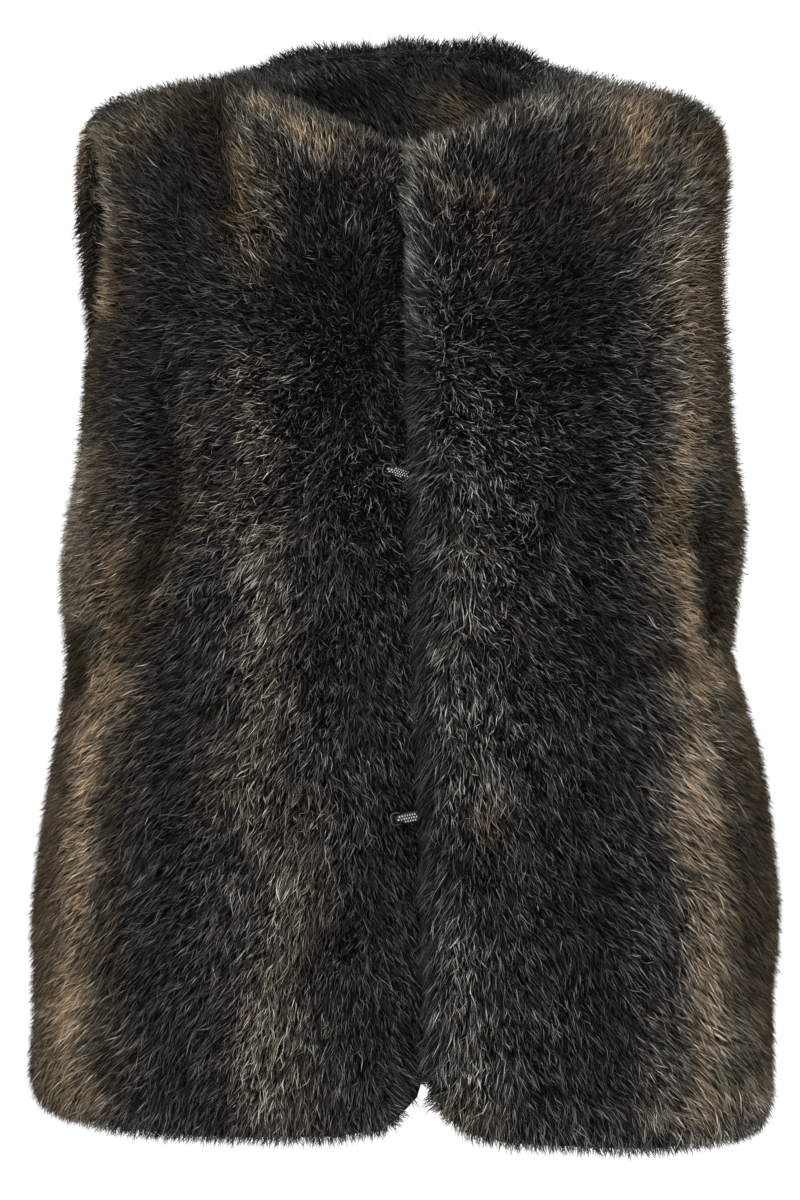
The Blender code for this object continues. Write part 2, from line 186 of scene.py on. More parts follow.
@dataclass(frozen=True)
class Stripe:
    """A soft stripe of a shade along a line in millimetres."""

    shade: Shade
    strength: float
    width: float
    path: Path

    def weight(self, points: np.ndarray) -> np.ndarray:
        """How strongly the stripe shows at each of some places."""
        return self.strength * beside(self.path, self.width, points)[1]


@dataclass(frozen=True)
class Crease:
    """A fold along a line in millimetres: the pile sinks into it, parts or gathers, and drops."""

    depth: float
    part: float
    width: float
    path: Path
    drop: float = 0.0

    def pull(self, points: np.ndarray) -> tuple[np.ndarray, np.ndarray]:
        """What the fold does to the pile.

        Args:
            points: places in metres, one a row.

        Returns:
            How far the pile sinks at each place, and the way in which it is combed.
        """
        away, weight = beside(self.path, self.width, points)
        ways = np.zeros_like(points)
        ways[:, (0, 2)] = self.part * weight[:, None] * away
        ways[:, 2] -= self.drop * weight
        return self.depth * MILLIMETRE * weight, ways


@dataclass(frozen=True)
class Tuft:
    """Longer hairs along a line in millimetres."""

    extra: float
    width: float
    path: Path

    def lengths(self, points: np.ndarray) -> np.ndarray:
        """How much longer hairs are at each of some places."""
        return self.extra * MILLIMETRE * beside(self.path, self.width, points)[1]


BLACK = Shade(0.05, 0.06)
CHARCOAL = Shade(0.05, 0.155)
SMOKE = Shade(0.10, 0.40)
ASH = Shade(0.45, 0.77)
SILVER = Shade(0.10, 0.68)
BEIGE = Shade(0.75, 0.91)
TAN = Shade(0.92, 0.96)
FAWN = Shade(0.95, 0.80)
UMBER = Shade(1.00, 0.55)
SABLE = Shade(1.00, 0.24)

# Each row is a shade, its strength, the stripe's width, and its line. Later rows lie over earlier ones.
RIGHT_TONES = (
    Stripe(UMBER, 0.70, 15, ((-178, -140), (-190, -215), (-196, -290), (-198, -340), (-210, -450))),
    Stripe(UMBER, 0.60, 15, ((-210, -450), (-210, -560))),
    Stripe(UMBER, 0.70, 16, ((-180, -30), (-150, 0), (-115, 5))),
    Stripe(BLACK, 0.85, 21, ((-32, -75), (-28, -110), (-12, -160))),
    Stripe(CHARCOAL, 0.75, 11, ((-63, -55), (-58, -95))),
    Stripe(BLACK, 0.70, 16, ((-154, -115), (-150, -170), (-154, -195))),
    Stripe(CHARCOAL, 0.70, 12, ((-36, -176), (-6, -188))),
    Stripe(BLACK, 0.40, 9, ((-95, -98), (-2, -102))),
    Stripe(CHARCOAL, 0.40, 18, ((-126, -335), (-118, -420))),
    Stripe(CHARCOAL, 0.38, 25, ((-25, -300), (-24, -400), (-16, -540))),
    # Painted shadow in the gap under the left front's edge at the opening
    Stripe(BLACK, 0.75, 7, ((3, -370), (5, -460), (9, -560))),
    Stripe(CHARCOAL, 0.50, 8, ((-8, -230), (-4, -254))),
    Stripe(SILVER, 0.40, 11, ((-56, -122), (-38, -132))),
    Stripe(SILVER, 0.35, 10, ((-34, -374), (-22, -390))),
    Stripe(CHARCOAL, 0.50, 8, ((-10, -428), (-2, -448))),
    Stripe(SILVER, 0.35, 9, ((-30, -206), (-20, -236))),
    Stripe(CHARCOAL, 0.60, 14, ((-50, -460), (-48, -500))),
    Stripe(CHARCOAL, 0.95, 13, ((-144, -300), (-138, -350), (-137, -450), (-135, -560))),
    Stripe(UMBER, 0.50, 10, ((-158, -300), (-166, -380), (-172, -470), (-174, -555))),
    Stripe(FAWN, 0.30, 10, ((-112, -360), (-114, -410))),
    Stripe(FAWN, 0.88, 14, ((-170, -264), (-166, -305), (-172, -330))),
    Stripe(TAN, 0.85, 15, ((-172, -330), (-181, -365), (-186, -395), (-190, -460), (-194, -515))),
    Stripe(TAN, 0.72, 15, ((-194, -515), (-196, -540), (-190, -572))),
    Stripe(ASH, 0.30, 12, ((-164, -530), (-152, -556))),
    Stripe(UMBER, 0.60, 8, ((-197, -337), (-207, -393), (-214, -450), (-216, -510))),
    Stripe(SABLE, 0.80, 6, ((-189, -300), (-189, -335))),
    Stripe(ASH, 0.80, 17, ((-86, -240), (-82, -300), (-80, -340), (-84, -365), (-90, -395))),
    Stripe(ASH, 0.75, 17, ((-84, -420), (-66, -440), (-66, -465), (-74, -490), (-82, -515), (-82, -565))),
    Stripe(ASH, 0.52, 14, ((-56, -400), (-56, -440))),
    Stripe(ASH, 0.72, 15, ((-66, -520), (-64, -565))),
    Stripe(FAWN, 0.30, 9, ((-46, -440), (-50, -465), (-64, -490))),
    Stripe(ASH, 0.72, 19, ((-92, -152), (-84, -200), (-86, -240))),
    Stripe(SILVER, 0.55, 10, ((-112, -282), (-66, -276))),
    Stripe(CHARCOAL, 0.45, 9, ((-92, -230), (-60, -232))),
    Stripe(SILVER, 0.35, 15, ((-112, -448), (-74, -474))),
    Stripe(CHARCOAL, 0.75, 9, ((-102, -426), (-88, -440))),
    Stripe(CHARCOAL, 0.75, 14, ((-136, -40), (-132, -110))),
    Stripe(CHARCOAL, 0.75, 11, ((-122, -30), (-118, -85))),
    Stripe(CHARCOAL, 0.60, 16, ((-160, -116), (-120, -122), (-62, -124))),
    Stripe(ASH, 0.60, 14, ((-98, -5), (-88, -35), (-70, -60))),
    Stripe(FAWN, 0.92, 14, ((-101, -30), (-95, -60), (-90, -76))),
    Stripe(BEIGE, 0.60, 11, ((-90, -72), (-86, -94))),
    # The next two rows are painted shade in the shoulder fold
    Stripe(SABLE, 1.00, 10, ((-113, 4), (-112, -25), (-108, -52))),
    Stripe(BLACK, 0.55, 6, ((-113, -5), (-111, -30), (-109, -50))),
    Stripe(BEIGE, 0.45, 9, ((-96, -30), (-88, -56))),
    Stripe(ASH, 0.50, 12, ((-168, -14), (-148, -4))),
    Stripe(UMBER, 0.60, 9, ((-164, -60), (-166, -115))),
    Stripe(UMBER, 0.75, 8, ((-171, -95), (-171, -128))),
    Stripe(BEIGE, 0.90, 6, ((-184, -24), (-179, -42), (-175, -58), (-174, -114))),
    Stripe(ASH, 0.70, 13, ((-190, -200), (-194, -240), (-192, -290))),
    Stripe(FAWN, 0.60, 10, ((-175, -205), (-168, -268))),
    Stripe(FAWN, 0.52, 11, ((-131, -228), (-138, -262), (-146, -298))),
    Stripe(CHARCOAL, 0.45, 8, ((-160, -318), (-140, -322))),
    Stripe(FAWN, 0.40, 8, ((-122, -180), (-118, -237))),
    # The next two rows are painted shade in the waist fold
    Stripe(BLACK, 0.75, 7, ((-148, -170), (-141, -205))),
    Stripe(SABLE, 0.85, 8, ((-139, -205), (-138, -222), (-146, -250), (-152, -276))),
    Stripe(BLACK, 0.75, 10, ((-60, -54), (-54, -98))),
    Stripe(BLACK, 0.75, 8, ((-123, -38), (-117, -54))),
    Stripe(BLACK, 0.50, 13, ((-136, -52), (-130, -108))),
    Stripe(CHARCOAL, 0.50, 8, ((-6, -112), (2, -122))),
    Stripe(SILVER, 0.45, 9, ((-38, -60), (-22, -66))),
    Stripe(FAWN, 0.55, 8, ((-204, -560), (-160, -576))),
    Stripe(CHARCOAL, 0.75, 10, ((-158, -576), (-110, -580))),
    Stripe(BEIGE, 0.60, 9, ((-182, -12), (-176, -32))),
    Stripe(ASH, 0.40, 9, ((-45, -30), (-20, -36), (-4, -38))),
    # The next two rows are beige hair with a painted highlight on the neck edge's roll
    Stripe(BEIGE, 0.90, 7, ((-86, 5), (-66, -6), (-44, -18))),
    Stripe(BEIGE, 0.95, 11, ((-62, -14), (-46, -20))),
    Stripe(FAWN, 0.50, 6, ((-34, -10), (-20, -18))),
)
LEFT_TONES = (
    Stripe(UMBER, 0.60, 16, ((150, 4), (182, -20))),
    Stripe(BEIGE, 0.40, 18, ((112, 8), (140, 0))),
    Stripe(UMBER, 0.85, 15, ((186, -20), (188, -140), (198, -235), (194, -310), (210, -420), (216, -560))),
    Stripe(SILVER, 0.42, 13, ((34, -48), (26, -66))),
    Stripe(SILVER, 0.50, 12, ((20, -98), (19, -150))),
    Stripe(SILVER, 0.35, 8, ((12, -100), (20, -114))),
    Stripe(ASH, 0.45, 9, ((30, -60), (48, -64))),
    Stripe(UMBER, 0.25, 18, ((80, -40), (112, -50))),
    Stripe(CHARCOAL, 0.45, 22, ((76, -90), (82, -170))),
    Stripe(BLACK, 0.72, 20, ((92, -68), (100, -142))),
    Stripe(CHARCOAL, 0.70, 13, ((120, -232), (124, -300), (118, -350))),
    Stripe(FAWN, 0.35, 12, ((32, -42), (46, -46), (54, -90))),
    Stripe(UMBER, 0.25, 13, ((84, -26), (116, -28))),
    Stripe(UMBER, 0.40, 13, ((80, -46), (98, -62))),
    Stripe(UMBER, 0.20, 15, ((54, -255), (58, -310))),
    Stripe(BLACK, 0.65, 16, ((96, -60), (102, -115), (100, -200), (106, -260), (117, -320))),
    Stripe(BLACK, 0.65, 16, ((117, -322), (112, -420), (112, -560))),
    Stripe(SILVER, 0.50, 15, ((32, -185), (42, -230), (38, -280))),
    Stripe(SILVER, 0.40, 10, ((92, -152), (99, -180))),
    Stripe(BLACK, 0.70, 11, ((80, -210), (88, -234))),
    Stripe(BLACK, 0.75, 11, ((100, -412), (108, -438))),
    Stripe(CHARCOAL, 0.60, 8, ((28, -280), (46, -284))),
    Stripe(CHARCOAL, 0.50, 7, ((47, -318), (52, -332))),
    Stripe(SILVER, 0.45, 12, ((34, -188), (70, -194))),
    Stripe(SILVER, 0.45, 9, ((33, -200), (38, -246))),
    Stripe(SILVER, 0.55, 9, ((20, -262), (38, -270))),
    Stripe(SILVER, 0.50, 8, ((42, -300), (52, -306))),
    Stripe(SILVER, 0.35, 13, ((64, -214), (66, -285))),
    Stripe(SILVER, 0.50, 18, ((28, -305), (28, -350), (33, -400))),
    Stripe(SILVER, 0.40, 16, ((46, -340), (46, -384))),
    Stripe(CHARCOAL, 0.75, 10, ((32, -438), (44, -452), (50, -482))),
    Stripe(BLACK, 0.60, 9, ((48, -472), (52, -484))),
    Stripe(SILVER, 0.68, 20, ((26, -470), (32, -510), (36, -560))),
    # Painted shadow line of a slight fold at the hip
    Stripe(CHARCOAL, 0.70, 8, ((28, -425), (45, -430))),
    Stripe(FAWN, 0.70, 8, ((49, -402), (50, -418))),
    Stripe(CHARCOAL, 0.30, 8, ((38, -26), (70, -30))),
    Stripe(SMOKE, 0.50, 12, ((140, -90), (136, -200), (138, -300))),
    Stripe(ASH, 0.40, 13, ((147, -82), (150, -134))),
    Stripe(SILVER, 0.40, 9, ((130, -192), (134, -234))),
    Stripe(FAWN, 0.40, 11, ((142, -268), (150, -290))),
    Stripe(ASH, 0.60, 11, ((141, -48), (145, -74))),
    Stripe(FAWN, 0.62, 11, ((150, -208), (151, -250))),
    Stripe(CHARCOAL, 0.45, 8, ((147, -172), (149, -194))),
    Stripe(BEIGE, 0.45, 8, ((157, -90), (162, -106))),
    Stripe(ASH, 0.35, 12, ((145, -520), (140, -560))),
    Stripe(SABLE, 0.40, 9, ((184, -382), (187, -404))),
    Stripe(CHARCOAL, 0.50, 8, ((88, -546), (104, -552))),
    Stripe(SABLE, 0.50, 9, ((192, -430), (199, -510))),
    Stripe(UMBER, 0.60, 8, ((184, -415), (190, -480))),
    Stripe(BEIGE, 0.55, 13, ((162, -26), (165, -40), (166, -75))),
    Stripe(BEIGE, 0.80, 13, ((161, -105), (165, -160), (164, -178))),
    Stripe(FAWN, 0.45, 8, ((171, -80), (173, -140))),
    Stripe(TAN, 0.75, 10, ((166, -188), (164, -212), (158, -230))),
    Stripe(FAWN, 0.90, 9, ((156, -230), (159, -262))),
    Stripe(TAN, 0.90, 11, ((160, -264), (166, -292), (172, -326))),
    Stripe(FAWN, 0.35, 8, ((173, -160), (175, -200))),
    # Painted shade in the waist fold
    Stripe(SABLE, 0.90, 7, ((175, -240), (180, -270), (183, -292))),
    Stripe(UMBER, 0.50, 8, ((152, -318), (186, -326))),
    Stripe(BEIGE, 0.90, 19, ((172, -330), (168, -365), (168, -410))),
    Stripe(SABLE, 0.45, 8, ((150, -316), (168, -326))),
    Stripe(BEIGE, 0.90, 16, ((169, -410), (173, -450), (175, -490))),
    Stripe(BEIGE, 0.90, 16, ((175, -500), (174, -574))),
    Stripe(BEIGE, 0.30, 12, ((198, -510), (198, -560))),
    Stripe(BEIGE, 0.60, 10, ((140, -578), (205, -572))),
    Stripe(FAWN, 0.50, 9, ((16, -570), (50, -578))),
    Stripe(CHARCOAL, 0.50, 18, ((72, -440), (76, -500))),
    Stripe(TAN, 0.90, 13, ((134, 2), (137, -10), (135, -28))),
    Stripe(FAWN, 0.75, 10, ((116, -18), (121, -34), (121, -50))),
    Stripe(UMBER, 0.45, 9, ((121, -50), (118, -70))),
    # Painted highlight on the lit roll of this front's edge at the opening
    Stripe(SILVER, 0.50, 5, ((2, -50), (4, -92))),
    # The next four rows are painted shadow in the gap along this front's edge at the opening
    Stripe(CHARCOAL, 0.50, 7, ((4, -110), (2, -145))),
    Stripe(BLACK, 0.75, 8, ((1, -150), (2, -240))),
    Stripe(BLACK, 0.90, 7, ((2, -240), (6, -300), (7, -330), (8, -460))),
    Stripe(BLACK, 0.80, 6, ((8, -465), (12, -560))),
    Stripe(ASH, 0.80, 6, ((12, -40), (24, -48))),
    Stripe(BEIGE, 0.60, 5, ((44, -46), (52, -50))),
    Stripe(CHARCOAL, 0.85, 12, ((68, -6), (82, -34))),
    Stripe(CHARCOAL, 0.40, 9, ((112, -32), (118, -52))),
    Stripe(ASH, 0.65, 6, ((2, -32), (28, -18), (55, -8), (84, 2))),
    Stripe(ASH, 0.60, 7, ((82, 2), (106, 10))),
)
BACK_TONES = (
    Stripe(CHARCOAL, 0.28, 22, ((-70, 40), (60, 46))),
    Stripe(CHARCOAL, 0.80, 20, ((-108, -20), (-116, -300), (-120, -590))),
    Stripe(ASH, 0.75, 18, ((-62, 0), (-56, -200), (-66, -420), (-70, -590))),
    Stripe(BLACK, 0.80, 24, ((4, -20), (-6, -300), (6, -590))),
    Stripe(ASH, 0.75, 18, ((66, 0), (60, -220), (72, -400), (74, -590))),
    Stripe(CHARCOAL, 0.80, 20, ((112, -20), (118, -300), (124, -590))),
    Stripe(TAN, 0.92, 12, ((-140, 10), (-158, -200), (-170, -380), (-176, -590))),
    Stripe(TAN, 0.92, 12, ((146, 10), (156, -210), (168, -400), (178, -590))),
    Stripe(UMBER, 0.85, 12, ((-192, -20), (-197, -300), (-213, -590))),
    Stripe(SABLE, 0.30, 12, ((-186, -50), (-184, -125))),
    Stripe(FAWN, 0.80, 9, ((-190, -14), (-186, -38))),
    Stripe(UMBER, 0.85, 12, ((190, -20), (194, -300), (212, -590))),
)
FACING_TONES = (
    Stripe(CHARCOAL, 0.70, 12, ((-90, 30), (80, 34))),
    Stripe(CHARCOAL, 0.60, 11, ((-48, 16), (-8, 16))),
    # Painted shadow at the lower left inside the neck
    Stripe(CHARCOAL, 0.52, 16, ((-66, 10), (-36, 0), (-2, -12))),
    Stripe(CHARCOAL, 0.60, 12, ((44, 14), (74, 8))),
    Stripe(FAWN, 0.85, 12, ((28, 6), (46, -4))),
)
# Each row is a depth, how far hairs part or, below zero, gather, a width, the fold's line, and their drop
RIGHT_CREASES = (
    Crease(8.0, 0.9, 8, ((-114, 8), (-112, -20), (-108, -52))),
    Crease(8.0, 0.8, 8, ((-148, -170), (-140, -203), (-138, -220), (-145, -252))),
    Crease(0.0, -0.6, 24, ((14, -100), (16, -330), (24, -560)), drop=0.3),
    Crease(0.0, -1.8, 16, ((20, -540), (15, -566))),
)
LEFT_CREASES = (
    Crease(7.0, 0.7, 9, ((181, -244), (185, -276), (180, -306))),
    Crease(0.0, -0.6, 22, ((-12, -40), (-12, -95)), drop=-0.6),
    Crease(0.0, -0.6, 22, ((-12, -120), (-10, -175))),
    Crease(0.0, -0.6, 22, ((-10, -200), (-8, -330), (-3, -525)), drop=0.9),
    Crease(0.0, -0.8, 16, ((0, -550), (4, -564)), drop=-1.0),
)
BACK_CREASES = (
    Crease(0.0, 0.0, 20, ((-185, -5), (-190, -120)), drop=0.4),
)
# Each row is the hairs' extra length, how far the tuft spreads, and its line
RIGHT_TUFTS = (
    Tuft(2.0, 7, ((-100, 12), (-58, -4), (-2, -26))),
    Tuft(9.0, 9, ((-183, -20), (-178, -55))),
    Tuft(5.0, 8, ((-176, -55), (-174, -110))),
    Tuft(6.0, 7, ((-14, -199), (-10, -199))),
    Tuft(6.0, 7, ((-9, -394), (-5, -394))),
    Tuft(14.0, 7, ((2, -556), (10, -546))),
)
LEFT_TUFTS = (
    Tuft(9.0, 7, ((1, -24), (6, -300), (12, -560))),
    Tuft(22.0, 6, ((10, -542), (12, -551))),
    Tuft(11.0, 6, ((12, -551), (15, -558))),
    Tuft(2.0, 7, ((4, -26), (54, -6), (100, 14))),
)
BACK_TUFTS = (
    Tuft(3.0, 16, ((-90, 40), (60, 52))),
    Tuft(6.0, 10, ((-185, -60), (-184, -108))),
    Tuft(7.0, 9, ((-184, -88), (-182, -114))),
    Tuft(2.5, 12, ((-36, 46), (-6, 48))),
    Tuft(2.5, 8, ((46, 42), (58, 38))),
)


@dataclass(frozen=True)
class ToneMap:
    """Where the pile is grey or brown, and how light it is."""

    tones: tuple[Stripe, ...]
    base: Shade
    mottles: tuple[tuple[WaveNoise, float], ...]

    def at(self, points: np.ndarray) -> tuple[np.ndarray, np.ndarray]:
        """Reads the tone of the cloth.

        Args:
            points: places in metres, one a row.

        Returns:
            How brown and how light it is at each place.
        """
        brown = np.full(len(points), self.base.brown)
        light = np.full(len(points), self.base.light)
        for tone in self.tones:
            weight = tone.weight(points)
            brown += weight * (tone.shade.brown - brown)
            light += weight * (tone.shade.light - light)
        for noise, depth in self.mottles:
            light += depth * noise.at(points)
        return brown, light


def start_material(
    name: str, inputs: dict[str, float | tuple[float, ...]]
) -> tuple[bpy.types.Material, bpy.types.Nodes, bpy.types.NodeLinks, bpy.types.ShaderNode]:
    """Starts a material.

    Args:
        name: the material's name.
        inputs: values for its shader, by the names of the shader's inputs.

    Returns:
        The material, its nodes, their links and its shader.
    """
    made = bpy.data.materials.new(name)
    made.use_nodes = True
    nodes, links = made.node_tree.nodes, made.node_tree.links
    shader = nodes["Principled BSDF"]
    for title, value in inputs.items():
        shader.inputs[title].default_value = value
    return made, nodes, links, shader


@dataclass(frozen=True)
class Mottle:
    """Uneven patches of a colour, from a darker share of it to a lighter one."""

    scale: float
    detail: float
    dark: float
    light: float
    dark_at: float = 0.0
    light_at: float = 1.0

    def dress(self, material: bpy.types.Material, colour: Colour) -> None:
        """Gives a material's shader the patches.

        Args:
            material: the material.
            colour: the colour that varies.
        """
        nodes, links = material.node_tree.nodes, material.node_tree.links
        place = nodes.new("ShaderNodeTexCoord")
        patches = nodes.new("ShaderNodeTexNoise")
        patches.inputs["Scale"].default_value = self.scale
        patches.inputs["Detail"].default_value = self.detail
        links.new(place.outputs["Object"], patches.inputs["Vector"])
        ramp = nodes.new("ShaderNodeValToRGB")
        stops = ((self.dark_at, self.dark), (self.light_at, self.light))
        for element, (position, share) in zip(ramp.color_ramp.elements, stops):
            element.position = position
            element.color = (*(share * channel for channel in colour), 1.0)
        links.new(patches.outputs["Fac"], ramp.inputs["Fac"])
        links.new(ramp.outputs["Color"], nodes["Principled BSDF"].inputs["Base Color"])


@dataclass(frozen=True)
class PileFinish:
    """Hair colours, read from the palette map: hue and lightness across it, root to tip up it.

    MARGIN keeps the hues apart, and RISE is where along a hair its root's colour turns into its tip's.
    """

    HUES: ClassVar[int] = 4
    MARGIN: ClassVar[float] = 0.05
    RISE: ClassVar[tuple[float, float]] = (0.15, 0.75)

    grey: Colour
    brown: Colour
    darkest: float
    lightest: float
    stops: int
    root_share: float
    roughness: float
    specular: float

    @classmethod
    def across(cls, hue: np.ndarray | int, light: np.ndarray | float) -> np.ndarray | float:
        """The place across the palette of a step of hue and a lightness."""
        return (hue + cls.MARGIN + (1 - 2 * cls.MARGIN) * light) / cls.HUES

    @classmethod
    def place(cls, brown: np.ndarray, light: np.ndarray) -> np.ndarray:
        """Where hairs of a tone lie across the palette.

        Args:
            brown: how brown the hairs are, from 0 to 1.
            light: how light they are, from 0 to 1.

        Returns:
            Palette places from 0 to 1.
        """
        hue = np.clip(np.round(brown * (cls.HUES - 1)), 0, cls.HUES - 1)
        return cls.across(hue, np.clip(light, 0, 1))

    def ramp(self, nodes: bpy.types.Nodes, share: float) -> bpy.types.ShaderNode:
        """A colour ramp across the palette, in even steps to the eye.

        Args:
            nodes: the material's nodes.
            share: how much of the tip colours it keeps.

        Returns:
            The ramp's node.
        """
        made = nodes.new("ShaderNodeValToRGB")
        elements = made.color_ramp.elements
        while len(elements) < self.HUES * self.stops:
            elements.new(0.5)
        grey, brown = np.array(self.grey), np.array(self.brown)
        for hue in range(self.HUES):
            tint = grey + (brown - grey) * hue / (self.HUES - 1)
            for i in range(self.stops):
                light = i / (self.stops - 1)
                value = share * self.darkest * (self.lightest / self.darkest) ** light
                element = elements[hue * self.stops + i]
                element.position = self.across(hue, light)
                element.color = (*(value * tint), 1.0)
        return made

    def material(self, name: str) -> bpy.types.Material:
        """Makes the hairs' material.

        Args:
            name: the material's name.

        Returns:
            The material.
        """
        inputs = {"Roughness": self.roughness, "Specular IOR Level": self.specular}
        made, nodes, links, shader = start_material(name, inputs)
        palette = nodes.new("ShaderNodeUVMap")
        palette.uv_map = PALETTE_MAP
        split = nodes.new("ShaderNodeSeparateXYZ")
        links.new(palette.outputs["UV"], split.inputs[0])
        tips, roots = self.ramp(nodes, 1.0), self.ramp(nodes, self.root_share)
        links.new(split.outputs["X"], tips.inputs["Fac"])
        links.new(split.outputs["X"], roots.inputs["Fac"])
        rise = nodes.new("ShaderNodeMapRange")
        rise.interpolation_type = "SMOOTHSTEP"
        rise.inputs["From Min"].default_value, rise.inputs["From Max"].default_value = self.RISE
        links.new(split.outputs["Y"], rise.inputs["Value"])
        mix = nodes.new("ShaderNodeMix")
        mix.data_type = "RGBA"
        # This node's colours are its inputs 6 and 7 and its output 2
        links.new(rise.outputs["Result"], mix.inputs["Factor"])
        links.new(roots.outputs["Color"], mix.inputs[6])
        links.new(tips.outputs["Color"], mix.inputs[7])
        links.new(mix.outputs[2], shader.inputs["Base Color"])
        return made


@dataclass(frozen=True)
class BackingFinish:
    """The knitted backing of the pile, with fine rows of stitches."""

    PATCHES: ClassVar[Mottle] = Mottle(scale=60.0, detail=2.0, dark=0.55, light=1.5)
    UNEVEN: ClassVar[float] = 1.5
    STITCH_HEIGHT: ClassVar[float] = 0.0004

    colour: Colour
    specular: float
    bump: float
    stitch_scale: float = 260.0
    roughness: float = 0.9

    def material(self, name: str) -> bpy.types.Material:
        """Makes the backing's material.

        Args:
            name: the material's name.

        Returns:
            The material.
        """
        inputs = {"Roughness": self.roughness, "Specular IOR Level": self.specular}
        made, nodes, links, shader = start_material(name, inputs)
        self.PATCHES.dress(made, self.colour)
        place = nodes.new("ShaderNodeTexCoord")
        rows = nodes.new("ShaderNodeTexWave")
        rows.bands_direction = "Z"
        rows.inputs["Scale"].default_value = self.stitch_scale
        rows.inputs["Distortion"].default_value = self.UNEVEN
        links.new(place.outputs["Object"], rows.inputs["Vector"])
        bump = nodes.new("ShaderNodeBump")
        bump.inputs["Strength"].default_value = self.bump
        bump.inputs["Distance"].default_value = self.STITCH_HEIGHT
        links.new(rows.outputs["Fac"], bump.inputs["Height"])
        links.new(bump.outputs["Normal"], shader.inputs["Normal"])
        return made


@dataclass(frozen=True)
class ThreadFinish:
    """Spun thread or drawn wire: one colour with fine streaks of wear."""

    colour: Colour
    metallic: float
    roughness: float
    streak_scale: float

    def material(self, name: str) -> bpy.types.Material:
        """Makes the material.

        Args:
            name: the material's name.

        Returns:
            The material.
        """
        made = start_material(name, {"Metallic": self.metallic, "Roughness": self.roughness})[0]
        streaks = Mottle(self.streak_scale, detail=3.0, dark=0.6, light=1.2, dark_at=0.3, light_at=0.7)
        streaks.dress(made, self.colour)
        return made


@dataclass(frozen=True)
class HairStyle:
    """How one kind of hair grows.

    Reach and shortest are shares of the pile's depth. Overshoot, how far tips may pass it, and width are in
    metres. Clump_pull draws tips to their lock's middle, and stray turns hairs at random. Shade and its
    spread are steps of lightness, and a share of the hairs, bright, gets the lift as well.
    """

    kind: Hair
    count: int
    reach: float
    shortest: float
    overshoot: float
    width: float
    clump_pull: float
    stray: float
    shade: float
    spread: float
    bright: float
    lift: float


@dataclass(frozen=True)
class Places:
    """Places where hairs end, the directions off the cloth there, and how deep the hairs are rooted."""

    points: np.ndarray
    normals: np.ndarray
    depths: np.ndarray


def corners_of(node: bpy.types.Object) -> np.ndarray:
    """Reads the points of a CAD node.

    Args:
        node: the node's object.

    Returns:
        The points, one a row.
    """
    raw = np.empty(len(node.data.vertices) * 3)
    node.data.vertices.foreach_get("co", raw)
    return raw.reshape(-1, 3)


